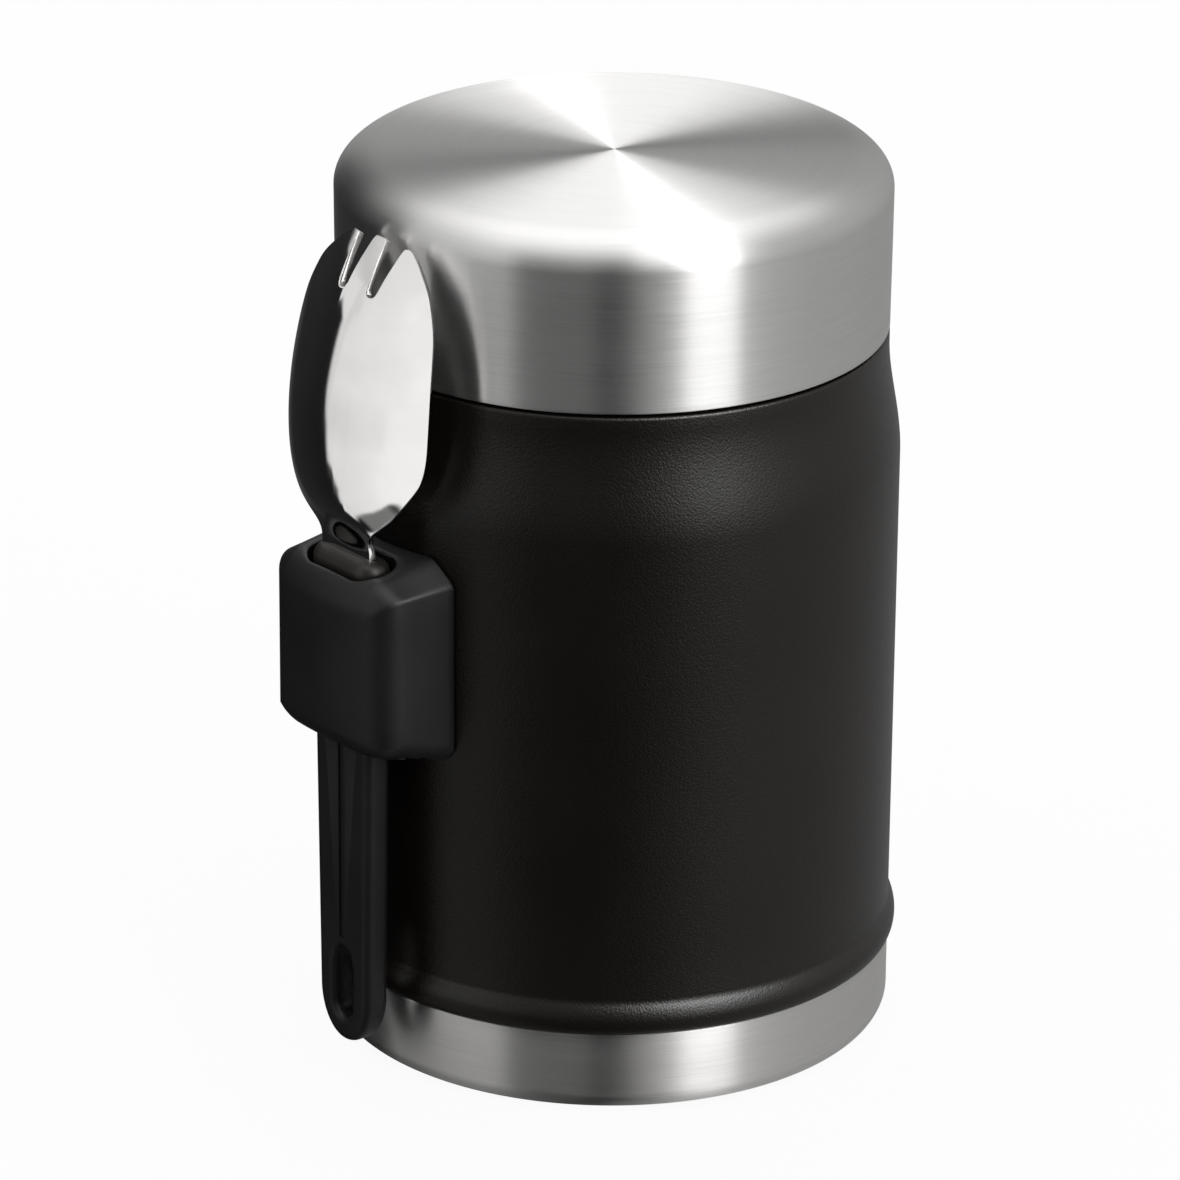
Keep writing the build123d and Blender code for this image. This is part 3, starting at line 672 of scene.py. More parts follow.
def make_shell():
    outside = [(hidden_foot_radius, hidden_foot_low), (hidden_foot_radius, bead_foot - 0.4)]
    outside += [(hidden_foot_radius + 0.15, bead_foot)] + bead()
    for t in (0.1, 0.3, 0.5, 0.7, 0.9):
        outside.append((wall_foot_radius + wall_draft * t, wall_low + (shoulder_low - wall_low) * t))
    outside += s_curve((body_radius, shoulder_low), (land_radius, land_low), 24)
    outside += fillet(land_radius, ledge_top, land_edge, 0, 90, 6)
    outside += fillet(neck_radius, ledge_top, neck_bend, -90, -180, 5)
    outside += [(neck_radius, 121), (neck_radius, neck_top)]
    bore, land_bore, under = neck_radius - shell_wall, land_radius - shell_wall, ledge_top - shell_wall
    foot_bore = hidden_foot_radius - shell_wall
    inside = [(bore, neck_top), (bore, under), (land_bore, under)]
    inside += s_curve((body_radius - shell_wall, shoulder_low), (land_bore, land_low), 12)[::-1]
    inside += [(wall_foot_radius - shell_wall, 18.4), (foot_bore, 14.0), (foot_bore, hidden_foot_low)]
    return turned("body_shell_coated", outside + inside)


def bare_faces(piece, bare):
    """Coats the piece, and gives the faces of its neck and its inside a second material."""
    piece.data.materials.append(coat)
    piece.data.materials.append(bare)
    for face in piece.data.polygons:
        radius = math.hypot(face.center.x, face.center.y)
        inwards = (face.normal.x * face.center.x + face.normal.y * face.center.y) / radius < -0.2
        if radius < bare_radius * mm or inwards:
            face.material_index = 1


shell = make_shell()
bare_faces(shell, vessel_steel)
finish_piece(shell, "jar", coat, "coated_steel", "outer_shell")
coated.objects.link(shell)

# %% [markdown]
# ## Base cup
#
# The base is a shallow steel cup pushed over the body's foot. Its upper edge is rounded, which shows as
# a thin bright line under the bead, and a ring is pressed into its floor to stiffen it.

# %% Base cup
cup_radius = 44.5
cup_corner = 3.2
cup_top = 13.3
cup_wall = 0.6
cup_edge = 0.28  # rounding of the upper edge
ring_round = 0.3  # the pressed ring's bends are this long and half as high
ring_bends = [(30.0, -90, 0), (30.6, 180, 90), (32.4, 90, 0), (33.0, 180, 270)]


def make_base():
    bore = cup_radius - cup_wall
    outside = [(0, 0), (15, 0), (29.6, 0)]
    for radius, start, end in ring_bends:
        outside += arc((radius, ring_round / 2), (ring_round, ring_round / 2), start, end, 3)
    outside += [(37, 0)] + fillet(cup_radius, 0, cup_corner, -90, 0, 12) + [(cup_radius, 8)]
    outside += fillet(cup_radius, cup_top, cup_edge, 0, 90, 5)
    inside = [(bore + 0.05, cup_top), (bore, cup_top - 0.1), (bore, cup_corner)]
    inside += fillet(bore, cup_wall, cup_corner - cup_wall, 0, -90, 8)
    inside += [(33.6, cup_wall), (29.4, cup_wall), (0, cup_wall)]
    return turned("base_cup_brushed", outside + inside)


finish_piece(make_base(), "jar", base_steel, "brushed_steel", "base_cup")

# %% [markdown]
# ## Inner vessel
#
# The food stands in an inner vessel of thin steel, welded to the neck at a rolled rim. Its wall bends in
# under the shoulder, and a dished floor is welded in at the bottom with a fine seam.

# %% Inner vessel and its floor
cavity_radius = 39.7
mouth_radius = 34.2
inner_wall = 0.5
cavity_floor = 14.8
floor_corner = 8.0
rim_top = 129.0
rim_round = 0.4


def inner_bend(wall):
    """Bend under the shoulder, on a surface that lies wall outside the cavity's."""
    return s_curve((cavity_radius + wall, shoulder_low + 2), (mouth_radius + wall, ledge_top - 2), 16)


def make_inner_wall():
    seam = cavity_floor + floor_corner
    outside = [(cavity_radius + inner_wall, seam)] + inner_bend(inner_wall)
    outside += [(mouth_radius + inner_wall, neck_top)]
    rim = arc((neck_radius - rim_round, neck_top + rim_round), rim_round, -90, 90, 8)
    rim += fillet(mouth_radius, rim_top, rim_round, 90, 180, 6)
    inside = inner_bend(0)[::-1] + [(cavity_radius, 60), (cavity_radius, seam)]
    return turned("inner_wall_drawn", outside + rim + inside, coarse_steps)


def make_inner_floor():
    under = cavity_floor - inner_wall
    outside = [(0, under), (16, under)]
    outside += fillet(cavity_radius + inner_wall, under, floor_corner + inner_wall, -90, 0, 10)
    inside = fillet(cavity_radius, cavity_floor, floor_corner, 0, -90, 10)
    inside += [(16, cavity_floor), (0, cavity_floor)]
    return turned("inner_floor_dished", outside + inside, coarse_steps)


finish_piece(make_inner_wall(), "jar", vessel_steel, "vessel_steel", "inner_vessel")
finish_piece(make_inner_floor(), "jar", vessel_steel, "vessel_steel", "inner_bottom")

# %% [markdown]
# ## Inside of the lid
#
# A black liner is moulded with the thread's skirt and a well that reaches into the mouth. A disc closes
# the well from below and carries a grey silicone ring with two sealing lips.

# %% Liner, plug and seal
liner_bore = 39.2
liner_radius = 42.35
liner_foot = 115.2
well_radius = 33.5
well_bore = 31.9
well_foot = 121.2
ceiling_low = 129.8
ceiling_high = 131.8
foot_round = 0.5
edge_round = 0.3
corner_round = 0.6


def make_liner():
    outside = fillet(liner_radius, liner_foot, foot_round, -90, 0, 4)
    outside += [(liner_radius, ceiling_high - 0.4), (liner_radius - 0.4, ceiling_high)]
    outside += [(well_bore, ceiling_high), (well_bore, well_foot)]
    outside += fillet(well_radius, well_foot, edge_round, -90, 0, 3)
    outside += fillet(well_radius, ceiling_low, corner_round, 180, 90, 4)
    outside += fillet(liner_bore, ceiling_low, corner_round, 90, 0, 4)
    outside += [(liner_bore, 122)] + fillet(liner_bore, liner_foot, corner_round, 180, 270, 4)
    return turned("lid_liner_moulded", outside, coarse_steps)


def make_plug():
    low, high = 117.4, 118.6
    hub_radius, hub_top, hub_wall = 31.85, 123.0, 1.6
    groove_inner, groove_outer, groove_depth = 22.6, 24.4, 0.3
    outside = [(0, low), (groove_inner, low), (groove_inner + groove_depth, low + groove_depth)]
    outside += [(groove_outer - groove_depth, low + groove_depth), (groove_outer, low), (31, low)]
    outside += fillet(well_radius, low, corner_round, -90, 0, 5)
    outside += fillet(well_radius, high, edge_round, 0, 90, 3)
    outside += [(hub_radius, high), (hub_radius, hub_top), (hub_radius - hub_wall, hub_top)]
    outside += [(hub_radius - hub_wall, high), (0, high)]
    return turned("lid_plug_moulded", outside, coarse_steps)


def make_seal():
    inner, outer, low, high = 32.1, 33.95, 118.7, 121.1
    lip = 0.42
    outside = [(inner + 0.2, low), (outer - 0.6, low)]
    outside += arc((outer - lip, low + lip), lip, -90, 60, 6)
    outside += [(outer - lip, (low + high) / 2)]
    outside += arc((outer - lip, high - lip), lip, -60, 90, 6)
    outside += [(inner + 0.2, high), (inner, high - 0.2), (inner, low + 0.2)]
    return turned("lid_seal_ring", outside, coarse_steps)


finish_piece(make_liner(), "lid", liner_plastic, "lid_plastic", "lid_liner")
finish_piece(make_plug(), "lid", liner_plastic, "lid_plastic", "lid_plug")
finish_piece(make_seal(), "lid_seal", gasket_silicone, "silicone", "lid_gasket")

# %% [markdown]
# ## Skinned pieces
#
# Some shapes change along their length: a thread runs out at its ends, the holder is hollow and crowned.
# They could be sculpted or cut from blocks. Here rows of points give the shape: the first row is a
# circle's vertices, and each next row is extruded from the last and moved to its place.

# %% Skinning
def place_row(piece, points):
    """Moves each selected vertex to its own point of the row."""
    shape = bmesh.from_edit_mesh(piece.data)
    spot = shape.verts.layers.int["spot"]
    for vertex in shape.verts:
        if vertex.select:
            vertex.co = points[vertex[spot]]
    bmesh.update_edit_mesh(piece.data)


def first_row(name, points):
    """Ring of vertices at the points, each with its number along the row, left open in edit mode."""
    piece = start_piece(name, bpy.ops.mesh.primitive_circle_add, vertices=len(points), radius=mm)
    shape = bmesh.from_edit_mesh(piece.data)
    spot = shape.verts.layers.int.new("spot")
    for number, vertex in enumerate(shape.verts):
        vertex[spot] = number
    place_row(piece, points)
    return piece


def skinned(name, rows, capped=True, smooth_angle=35):
    """Closed skin over rows of points in metres. With no caps, the last row meets the first."""
    piece = first_row(name, rows[0])
    if capped:
        bpy.ops.mesh.edge_face_add()
    for points in rows[1:] if capped else rows[1:] + rows[:1]:
        bpy.ops.mesh.extrude_region_move()
        place_row(piece, points)
    close_up(piece, smooth_angle)
    piece.data.attributes.remove(piece.data.attributes["spot"])
    return piece


print("skinning ready")

# %% [markdown]
# ## Threads
#
# The neck's thread is rolled in and the liner's is moulded. Both are low ridges with sloping flanks that
# run out softly at both ends, so each row's height is eased in over the first and last degrees.

# %% Threads
thread_pitch = 5.0
ridge_half_root = 1.2
ridge_half_middle = 0.92
ridge_half_crest = 0.6
ridge_reach = 1.3  # from the wall to the crest
ridge_sink = 0.4  # from the wall back to the root, which is buried in it
end_dip = 0.05  # share of the reach by which the ends dip below the wall
run_out = 22  # degrees
degrees_a_row = 5


def make_thread(name, wall_radius, side, start_height, start_angle, turns):
    """Right-handed ridge on a round wall: outside it with a side of 1, inside it with -1."""
    sunk_radius = wall_radius - side * ridge_sink
    rows = []
    for step in range(round(turns * 360 / degrees_a_row) + 1):
        turned_by = step * degrees_a_row
        rise = smooth_step(min(1, min(turned_by, turns * 360 - turned_by) / run_out))
        crest = wall_radius + side * ridge_reach * (rise * (1 + end_dip) - end_dip)
        middle = (wall_radius + crest) / 2
        edge = crest + (middle - crest) * 0.2
        half = ridge_half_crest * (0.5 + 0.5 * rise)
        upper = [(crest, half - 0.1), (edge, half + 0.04), (middle, ridge_half_middle),
                 (sunk_radius, ridge_half_root)]
        section = [(radius, -up) for radius, up in reversed(upper)] + upper
        angle = math.radians(start_angle + turned_by)
        height = start_height + thread_pitch * turned_by / 360
        rows.append([Vector((radius * math.cos(angle), radius * math.sin(angle), height + up)) * mm
                     for radius, up in section])
    return skinned(name, rows, smooth_angle=50)


neck_thread = make_thread("neck_thread", neck_radius, 1, 119.0, 0, 1.5)
liner_thread = make_thread("liner_thread", liner_bore, -1, 117.0, 36, 1.25)
finish_piece(neck_thread, "jar", vessel_steel, "vessel_steel")
finish_piece(liner_thread, "lid", liner_plastic, "lid_plastic")

# %% [markdown]
# ## Spork holder
#
# The holder is a moulded block that stands on the body's side: hollow, with soft corners, a rounded
# underside and a crowned top that falls steeply to its two long sides. A bevelled box can't have such a
# top, so loops of points are drawn at each level instead: out under the block, up its wall, over the
# crown, into the pocket, down to the ledge and through the sleeve, back to the start.

# %% Holder outlines
holder_half = 14.1
holder_back = 45.0
holder_front = 58.1
holder_corner = 5.5
back_edge = 0.5  # rounding of the two edges that meet the body
holder_low = 55.1
holder_high = 88.8
pocket_middle = 51.55
pocket_ledge = 79.7
side_edge_height = 85.1  # top's edge along the two sides
front_edge_height = 81.8  # and along the front
front_reach = 3.8
side_fall_slope = 0.25  # share of the fall to a side that each millimetre in from it takes back
knee_start = 0.75  # share from which the fall rounds into the slope
knee_length = 0.39
top_slope = math.tan(math.radians(9.5))
keel_slope = math.tan(math.radians(18))
keel_side_reach, keel_side_rise = 6.5, 4.6
keel_front_reach, keel_front_rise = 3.6, 2.9


def holder_outline(inset):
    """Block's outline seen from above, as (x, distance out) points, starting at the back right."""
    half = holder_half - inset
    front = holder_front - inset
    corner = max(holder_corner - inset, 1.0)
    corner_x = half - corner
    corner_out = math.sqrt((front - corner) ** 2 - corner_x ** 2)
    corner_end = math.degrees(math.atan2(corner_out, corner_x))
    back_out = math.sqrt(holder_back ** 2 - half ** 2)
    soft = half - back_edge
    back_half = math.degrees(math.asin(soft / holder_back))
    side_start = back_out + back_edge
    right = [(soft, math.sqrt(holder_back ** 2 - soft ** 2)), (half - 0.14, back_out + 0.14)]
    right += [(half, side_start + (corner_out - side_start) * step / 9) for step in range(9)]
    right += arc((corner_x, corner_out), corner, 0, corner_end, 14)
    right += arc((0, 0), front, corner_end, 90, 8)[1:-1]
    left = [(-x, out) for x, out in reversed(right)]
    back = arc((0, 0), holder_back, 90 + back_half, 90 - back_half, 24)[1:-1]
    return right + [(0, front)] + left + back


def ray_to_slot(across, out, half_width, half_depth, corner):
    """Where a ray from the pocket's middle, running across and out, meets a rounded oblong."""
    away = math.hypot(across, out)
    across, out = across / away, out / away
    inside, outside = 0.0, 40.0
    for _ in range(40):
        reach = (inside + outside) / 2
        over_side = max(abs(across) * reach - (half_width - corner), 0)
        over_front = max(abs(out) * reach - (half_depth - corner), 0)
        if math.hypot(over_side, over_front) < corner:
            inside = reach
        else:
            outside = reach
    return (across * inside, pocket_middle + out * inside)


def slot_outline(half_width, half_depth, corner):
    """Rounded oblong round the pocket's middle, point for point with the block's outline."""
    return [ray_to_slot(x, out - pocket_middle, half_width, half_depth, corner)
            for x, out in holder_outline(0)]


def round_off(x, out, reach):
    """1 at the block's front edge, falling along a quarter circle to 0 at reach millimetres behind it."""
    near = 1 - min(max(holder_front - math.hypot(x, out), 0) / reach, 1)
    return 1 - math.sqrt(max(0, 1 - near * near))


def crown_height(x, out):
    """Height of the block's top: a slope, less a straight fall to its sides and a round fall to its front."""
    level = holder_high - top_slope * (out - holder_back)
    straight = side_fall_slope * max(holder_half - abs(x), 0)
    over_knee = min(1, max(0, straight - knee_start) / knee_length)
    knee = knee_start + (1 - knee_start) * math.sin(over_knee * math.pi / 2)
    side_fall = (level - side_edge_height) * (1 - min(straight, knee))
    return level - side_fall - (level - front_edge_height) * round_off(x, out, front_reach)


def keel_height(x, out):
    """Height of the underside: it rises outwards, and slopes up to the side edges and rounds to the front."""
    near_side = min(1, max(holder_half - abs(x), 0) / keel_side_reach) ** 0.6
    side_rise = keel_side_rise * (1 - math.sin(near_side * math.pi / 2))
    front_rise = keel_front_rise * round_off(x, out, keel_front_reach)
    return holder_low + keel_slope * (out - holder_back) + side_rise + front_rise


def at_heights(points, height):
    """Outline points as 3-D points in metres. The height is a number or a function of (x, out)."""
    row = []
    for x, out in points:
        z = height(x, out) if callable(height) else height
        row.append(Vector((x, -out, z)) * mm)
    return row


def between(first, second, share):
    return [(a[0] + (b[0] - a[0]) * share, a[1] + (b[1] - a[1]) * share) for a, b in zip(first, second)]


print("points in each loop of the holder:", len(holder_outline(0)))

# %% [markdown]
# ## Holder block
#
# The sleeve is a slot that runs down through the block for the spork's handle, with a wider mouth at
# the top. Each is a closed loop of points, so the block's inside and outside are skinned in one go.

# %% Holder block
sleeve = slot_outline(7.6, 2.75, 1.5)
mouth = slot_outline(8.3, 3.9, 3.85)
mouth_lip = slot_outline(8.75, 4.35, 4.3)
sleeve_lip = slot_outline(7.9, 3.05, 1.8)
top_edge = [(0, -0.5), (0.006, -0.3), (0.022, -0.12), (0.05, -0.03)]  # share of the way in, and lift
top_shares = (0.1, 0.18, 0.28, 0.4, 0.52, 0.64, 0.76, 0.88, 1)
keel_shares = (0, 0.2, 0.4, 0.56, 0.7, 0.8, 0.88, 0.94, 0.975, 0.993, 1)


def over(surface, lift):
    """The same height function, lifted or, below zero, sunk."""
    return lambda x, out: surface(x, out) + lift


def holder_rows():
    outer = holder_outline(0)
    rows = [(sleeve, holder_low + 4.5), (sleeve, over(keel_height, 0.3))]
    rows += [(between(sleeve_lip, outer, share), keel_height) for share in keel_shares]
    rows += [(outer, height) for height in (64.5, 70, 76, 80.5)]
    for share, lift in top_edge + [(share, 0) for share in top_shares]:
        rows.append((between(outer, mouth_lip, share), over(crown_height, lift)))
    rows += [(between(mouth_lip, mouth, 0.7), over(crown_height, -0.15)), (mouth, over(crown_height, -0.5))]
    rows += [(mouth, height) for height in (84.5, 82, pocket_ledge + 0.3)]
    rows += [(between(mouth, sleeve, share), pocket_ledge) for share in (0.2, 0.8)]
    rows += [(sleeve, height) for height in (pocket_ledge - 0.3, 72, 64)]
    return [at_heights(points, height) for points, height in rows]


holder = skinned("holder_block", holder_rows(), capped=False, smooth_angle=38)
print("holder:", [round(v / mm, 1) for v in holder.dimensions])

# %% [markdown]
# ## Rail channel
#
# The block slides down over a steel rail on the body. Its back has a channel for that rail, open at the
# bottom, and room for the two screw lugs. Both are cut out with plain blocks.

# %% Rail channel
def block(name, low, high, round_by=0.0):
    """Box between two corners in millimetres, for cutting. Its edges along y may be rounded."""
    size = [b - a for a, b in zip(low, high)]
    middle = [(a + b) / 2 for a, b in zip(low, high)]
    piece = start_piece(name, bpy.ops.mesh.primitive_cube_add, size=mm)
    bpy.ops.transform.resize(value=size)
    bpy.ops.transform.translate(value=Vector(middle) * mm)
    if round_by:
        shape = bmesh.from_edit_mesh(piece.data)
        for edge in shape.edges:
            along = edge.verts[0].co - edge.verts[1].co
            edge.select_set(abs(along.z) < 1e-7 and abs(along.x) < 1e-7)
        shape.select_flush(False)
        bmesh.update_edit_mesh(piece.data)
        bpy.ops.mesh.bevel(offset=round_by * mm, segments=5)
    bpy.ops.object.mode_set(mode="OBJECT")
    return piece


def modify(piece, kind, **settings):
    """Adds a modifier to the piece, sets it up and applies it."""
    bpy.ops.object.select_all(action="DESELECT")
    bpy.context.view_layer.objects.active = piece
    piece.select_set(True)
    modifier = piece.modifiers.new(kind.lower(), kind)
    for name, value in settings.items():
        setattr(modifier, name, value)
    bpy.ops.object.modifier_apply(modifier=modifier.name)


def cut_away(piece, tool):
    """Boolean difference. The tool is deleted, and so is the empty material slot that the cut leaves."""
    modify(piece, "BOOLEAN", operation="DIFFERENCE", solver="MANIFOLD", object=tool)
    piece.data.materials.clear()
    bpy.data.objects.remove(tool)


rail_top = 84.2
rail_face = -47.0  # where the narrow part of the channel ends and the wide part starts
rooms = [
    ("left_lug_room", (-12.15, -51.75, 50), (-8.65, -43, 62.15)),
    ("right_lug_room", (8.65, -51.75, 50), (12.15, -43, 62.15)),
    ("rail_room", (-10.55, rail_face, 49), (10.55, -40, rail_top)),
    ("lip_room", (-12.55, -48.15, 49), (12.55, rail_face + 0.01, rail_top)),
]
for room in rooms:
    cut_away(holder, block(*room))
finish_piece(holder, "jar", holder_plastic, "holder_plastic", "spork_holder")
moulded.objects.link(holder)

# %% [markdown]
# ## Collar
#
# A soft collar sits round the top of the spork's handle and plugs the pocket. Its top is domed, with a
# slot for the steel neck, and it is hollow over the handle's end.

# %% Collar
collar_low = 80.0
collar_high = 88.8
collar_half = 7.5
collar_half_depth = 3.05
collar_corner = 3.0
collar_dome = 2.0
core_half = 6.4
core_half_depth = 1.65
core_high = 87.3
neck_out = 0.5
neck_half = 5.85
neck_half_depth = 0.6
neck_edge = 0.15  # how much wider the slot is at its upper end
oblong_points = 72
oblong_stretch = 2.2  # turns the rays towards the long ends, where the corners need points


def oblong(half_width, half_depth, corner):
    """Rounded oblong round the pocket's middle, sampled by direction."""
    corner = min(corner, half_depth - 0.01)
    rays = arc((0, 0), (oblong_stretch, 1), 0, 360, oblong_points)[:-1]
    return [ray_to_slot(across, out, half_width, half_depth, corner) for across, out in rays]


def neck_hole(half_width, half_depth):
    """Slot for the neck, which sits a little out from the pocket's middle."""
    return [(x, out + neck_out) for x, out in oblong(half_width, half_depth, half_depth)]


def collar_rows():
    core = oblong(core_half, core_half_depth, core_half_depth - 0.05)
    rows = [(core, core_high), (core, collar_low)]
    profile = [(-0.3, collar_low), (0, collar_low + 0.3)] + fillet(0, collar_high, collar_dome, 0, 90, 8)
    for grow, height in profile:
        ring = oblong(collar_half + grow, collar_half_depth + grow, collar_corner + grow)
        rows.append((ring, height))
    neck = neck_hole(neck_half, neck_half_depth)
    rows.append((neck_hole(neck_half + neck_edge, neck_half_depth + neck_edge), collar_high))
    rows += [(neck, collar_high - 0.25), (neck, core_high)]
    return [at_heights(points, height) for points, height in rows]


collar = skinned("spork_collar_soft", collar_rows(), capped=False, smooth_angle=50)
finish_piece(collar, "spork", collar_rubber, "collar_rubber", "spork_collar")

# %% [markdown]
# ## Handle
#
# The handle is a tapered flat bar with a half-round lower end, rounded edges and a hanging slot. Its
# loops run out from the slot over the front face, round the edge and back over the rear face. A shallow
# groove is then cut down its front.

# %% Handle
handle_low = 7.3
handle_high = 80.0
handle_near = 49.2
handle_far = 53.9
low_half = 6.1
high_half = 7.2
end_height = 8.5
slot_middle = 17.3
slot_half = 2.1
slot_half_height = 5.9
handle_edge = 1.5  # rounding of the long edges
groove_depth = 0.3
groove_half = 0.6
groove_low = 25.0
groove_high = 79.0


def handle_outline(inset):
    """Front outline of the handle, as (x, z) points, anticlockwise from the lower end's right side."""
    start = handle_low + end_height
    top_inset = min(inset, 0.4)
    top = handle_high - top_inset
    side = [(low_half + (high_half - low_half) * step / 7 - inset, start + (top - start) * step / 7)
            for step in range(7)]
    end = arc((0, start), (low_half - inset, end_height - inset), 180, 360, 48)[1:-1]
    across = [((high_half - inset) * (1 - step / 4), top) for step in range(9)]
    return side + across + [(-x, z) for x, z in reversed(side)] + end


def slot_ring(grow):
    """Hanging slot's outline, point for point with the handle's."""
    half = slot_half + grow
    points = []
    for x, z in handle_outline(0):
        along, across = ray_to_slot(z - slot_middle, x, slot_half_height + grow, half, half - 0.01)
        points.append((across - pocket_middle, slot_middle + along))
    return points


def facing(points, out):
    """Front-view (x, z) points at one distance out from the axis."""
    return [Vector((x, -out, z)) * mm for x, z in points]


def handle_rows():
    face = [(slot_ring(grow), depth) for grow, depth in [(0.15, 0.5), (0.45, 0.15), (0.95, 0), (1.2, 0)]]
    face.append((handle_outline(handle_edge + 0.3), 0))
    for inset, depth in arc((handle_edge, handle_edge), handle_edge, -90, -180, 8):
        face.append((handle_outline(inset), depth))
    rows = [facing(slot_ring(0), out) for out in (handle_near + 1, pocket_middle, handle_far - 1)]
    rows += [facing(points, handle_far - depth) for points, depth in face]
    rows += [facing(points, handle_near + depth) for points, depth in reversed(face)]
    return rows


handle = skinned("spork_handle_bar", handle_rows(), capped=False, smooth_angle=40)
groove_corners = [(-groove_half, -56, groove_low), (groove_half, groove_depth - handle_far, groove_high)]
cut_away(handle, block("groove", *groove_corners, round_by=0.5))
finish_piece(handle, "spork", handle_plastic, "handle_plastic", "spork_handle")

# %% [markdown]
# ## Spork head
#
# The head is one sheet of steel, pressed into a bowl whose round back faces outwards, with a neck below
# and three tines above. A coarse net of quads gives the sheet, so that a Subdivision Surface makes it
# as smooth as a pressing. Solidify then gives its thickness and Bevel breaks the sheared edges.

# %% Bowl shape
sheet_wall = 1.1
sheet_edge = 0.16  # width of the bevel on the sheared edges

# Height over the collar, how far the sheet's back stands out from the pocket's middle, and how strongly
# it curves across (1 / radius).
bowl_line = [
    (-54.0, 1.05, 0.0001), (-20.0, 1.05, 0.0001), (-3.0, 1.05, 0.0001), (0.6, 1.05, 0.001), (2.2, 1.3, 0.006),
    (4.1, 2.25, 0.024), (9.1, 5.0, 0.0455), (15.1, 5.95, 0.0440), (22.1, 5.65, 0.0426), (30.1, 3.85, 0.0411),
    (38.1, 0.95, 0.0385), (44.1, -2.35, 0.0345), (49.6, -6.4, 0.0278),
]
bowl_edge = [
    (-54.0, 5.0), (-20.0, 5.0), (-2.0, 5.0), (-1.0, 5.8), (2.6, 5.8), (4.4, 6.6), (9.2, 12.2), (15.0, 15.95),
    (22.0, 16.7), (30.0, 16.2), (38.0, 15.05), (42.5, 13.2), (44.1, 12.15), (46.6, 9.4), (48.6, 6.2),
]


def follow(stations, value, column):
    """Smooth curve through the stations (cubic pieces with matched slopes)."""
    places = [station[0] for station in stations]
    heights = [station[column] for station in stations]
    last = len(places) - 1
    value = min(max(value, places[0]), places[last])
    piece = max(i for i in range(last) if places[i] <= value)

    def slope(i):
        low, high = max(i - 1, 0), min(i + 1, last)
        if (heights[i] - heights[low]) * (heights[high] - heights[i]) <= 0 and low < i < high:
            return 0
        return (heights[high] - heights[low]) / (places[high] - places[low])

    width = places[piece + 1] - places[piece]
    t = (value - places[piece]) / width
    start, end = heights[piece], heights[piece + 1]
    return ((2 * t ** 3 - 3 * t ** 2 + 1) * start + (t ** 3 - 2 * t ** 2 + t) * width * slope(piece)
            + (3 * t ** 2 - 2 * t ** 3) * end + (t ** 3 - t ** 2) * width * slope(piece + 1))


def on_bowl(x, up):
    """Point on the outer face of the sheet, in metres."""
    stand_out = follow(bowl_line, up, 1)
    bend = max(follow(bowl_line, up, 2), 0.0001)
    drop = 1 / bend - math.sqrt(1 / bend ** 2 - x ** 2)
    return Vector((x, -(pocket_middle + stand_out - drop), collar_high + up)) * mm


print("bowl's widest half:", round(max(follow(bowl_edge, up, 1) for up in range(10, 40)), 2), "mm")

# %% [markdown]
# ## Spork sheet
#
# The net has one row of points for each height and one column for each line along the bowl. Above the
# tines' feet, the columns between two tines are left out, so that each tine has its own strip of net.

# %% Spork sheet
tine_foot = 42.5  # height at which the net parts into tines
gap_dip = 0.95  # how far the gaps reach below it, at their sides
gap_middle_dip = 1.15  # and at their middles
tine_columns = [4.5, 6.4, 8.5, 10.8, 13.2]
middle_columns = [-2.25, -1.12, 0, 1.12, 2.25]
gap_columns = [2.5, 3.37, 4.25]
side_columns = gap_columns + tine_columns
row_columns = [-x for x in reversed(side_columns)] + middle_columns + side_columns
sheet_levels = [-54, -30, -12, -4, -2.0, -1.0, 0.2, 1.6, 2.9, 4.2, 5.6, 7.3, 9.4, 12.0, 15.2, 18.8,
                22.6, 26.4, 30.2, 33.8, 36.8, 39.0]


def sheet_row(up):
    """One full row of the net, from the left edge to the right edge."""
    wide = follow(bowl_edge, up, 1) / tine_columns[-1]
    return [on_bowl(x * wide, up) for x in row_columns]


def gap_row():
    """Row at the tines' feet, which dips at the two gaps."""
    row = []
    for x in row_columns:
        dip = gap_middle_dip if abs(x) == gap_columns[1] else gap_dip if abs(x) in gap_columns else 0
        row.append(on_bowl(x, tine_foot - dip))
    return row


def outer_tine_rows():
    """Rows of the right-hand tine, which leans in to a narrow tip."""
    inner = [(4.6, 43.6), (4.85, 45.2), (5.15, 46.8), (5.35, 48.0), (5.55, 48.55)]
    outer = [(12.3, 43.9), (10.7, 45.6), (8.9, 47.2), (7.4, 48.2), (6.5, 48.65)]
    columns = [between(inner, outer, step / 4) for step in range(5)]
    return list(zip(*columns))


def middle_tine_rows():
    levels = [(2.15, 43.7), (1.92, 45.5), (1.66, 47.2), (1.45, 48.6), (1.1, 49.1)]
    return [[(half * k / 2, up) for k in range(-2, 3)] for half, up in levels]


def extrude_part(piece, first, rows):
    """Extrudes the part of the gap row that starts at column first through the rows."""
    columns = {first + number: number for number in range(len(rows[0]))}
    shape = bmesh.from_edit_mesh(piece.data)
    spot = shape.verts.layers.int["spot"]
    foot = gap_row()
    bpy.ops.mesh.select_all(action="DESELECT")
    for vertex in shape.verts:
        if vertex[spot] in columns and (vertex.co - foot[vertex[spot]]).length < 1e-6:
            vertex.select = True
    shape.select_flush(True)
    bmesh.update_edit_mesh(piece.data)
    for row in rows:
        bpy.ops.mesh.extrude_region_move()
        place_row(piece, {column: on_bowl(*row[number]) for column, number in columns.items()})


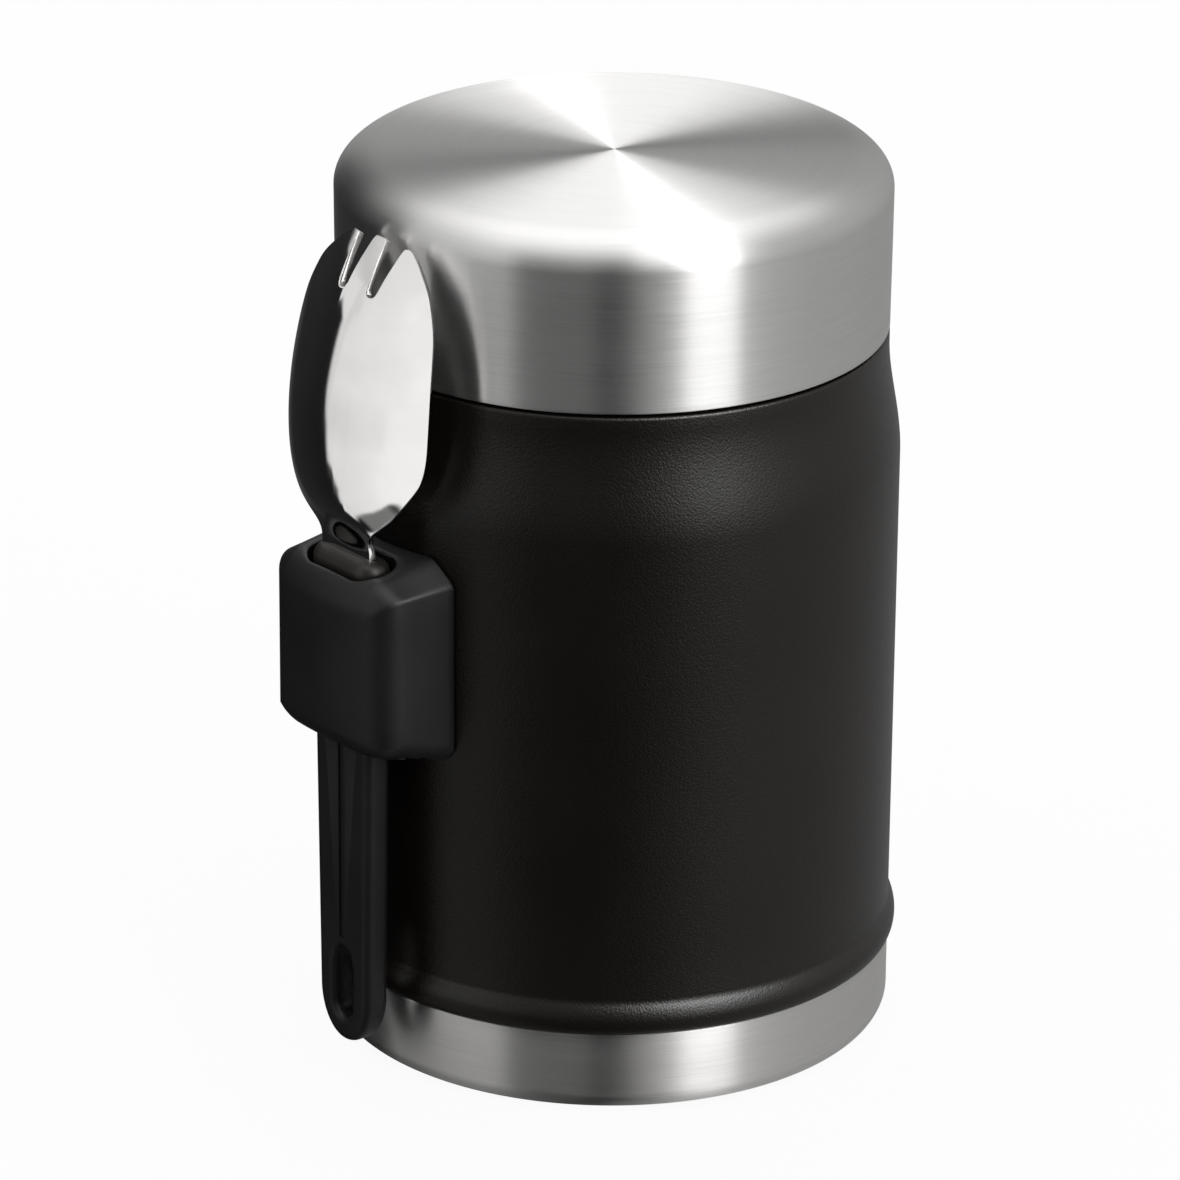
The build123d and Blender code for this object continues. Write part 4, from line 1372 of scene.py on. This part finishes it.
def make_sheet():
    levels = [sheet_row(up) for up in sheet_levels] + [gap_row()]
    piece = first_row("spork_sheet", levels[0])
    shape = bmesh.from_edit_mesh(piece.data)
    shape.verts.ensure_lookup_table()
    shape.edges.remove(shape.edges.get((shape.verts[0], shape.verts[len(row_columns) - 1])))
    bmesh.update_edit_mesh(piece.data)
    for points in levels[1:]:
        bpy.ops.mesh.extrude_region_move()
        place_row(piece, points)
    right_rows = outer_tine_rows()
    left_rows = [[(-x, up) for x, up in reversed(row)] for row in right_rows]
    extrude_part(piece, 0, left_rows)
    extrude_part(piece, len(side_columns), middle_tine_rows())
    extrude_part(piece, len(row_columns) - len(tine_columns), right_rows)
    bpy.ops.mesh.select_all(action="SELECT")
    bpy.ops.mesh.normals_make_consistent(inside=False)
    bpy.ops.object.mode_set(mode="OBJECT")
    piece.data.attributes.remove(piece.data.attributes["spot"])
    return piece


def thicken_sheet(piece):
    """Smooths the net and gives it its wall, inwards from the convex face, and its edges."""
    modify(piece, "SUBSURF", levels=3, render_levels=3)
    modify(piece, "SOLIDIFY", thickness=sheet_wall * mm, offset=-1, use_even_offset=True)
    modify(piece, "BEVEL", width=sheet_edge * mm, segments=2, limit_method="ANGLE",
           angle_limit=math.radians(50))
    bpy.ops.object.shade_smooth_by_angle(angle=math.radians(40))


head = make_sheet()
thicken_sheet(head)
finish_piece(head, "spork", mirror_steel, "mirror_steel", "spork_head")
by_the_wall.objects.link(head)

# %% [markdown]
# ## Pieces taken over from the frame
#
# Some pieces are hidden inside the jar, or are plain plates and screws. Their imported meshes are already
# the right shape, so they stay as they are and only get a finish.

# %% Carried-over nodes
node_finishes = {
    "reflective_foil": foil_metal, "outer_bottom": vessel_steel, "vacuum_seal": solder_metal,
    "getter": getter_metal, "getter_clip": vessel_steel, "holder_bracket": vessel_steel,
    "holder_screws": screw_steel, "lid_insulation": foam,
}
for node, material in node_finishes.items():
    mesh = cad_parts[node].data
    mesh.materials.clear()
    mesh.materials.append(material)
    print(node, "gets", material.name)

# %% [markdown]
# ## Finish
#
# Standard colour management shows each colour as it is written.

# %% Finish
bpy.context.scene.view_settings.view_transform = "Standard"
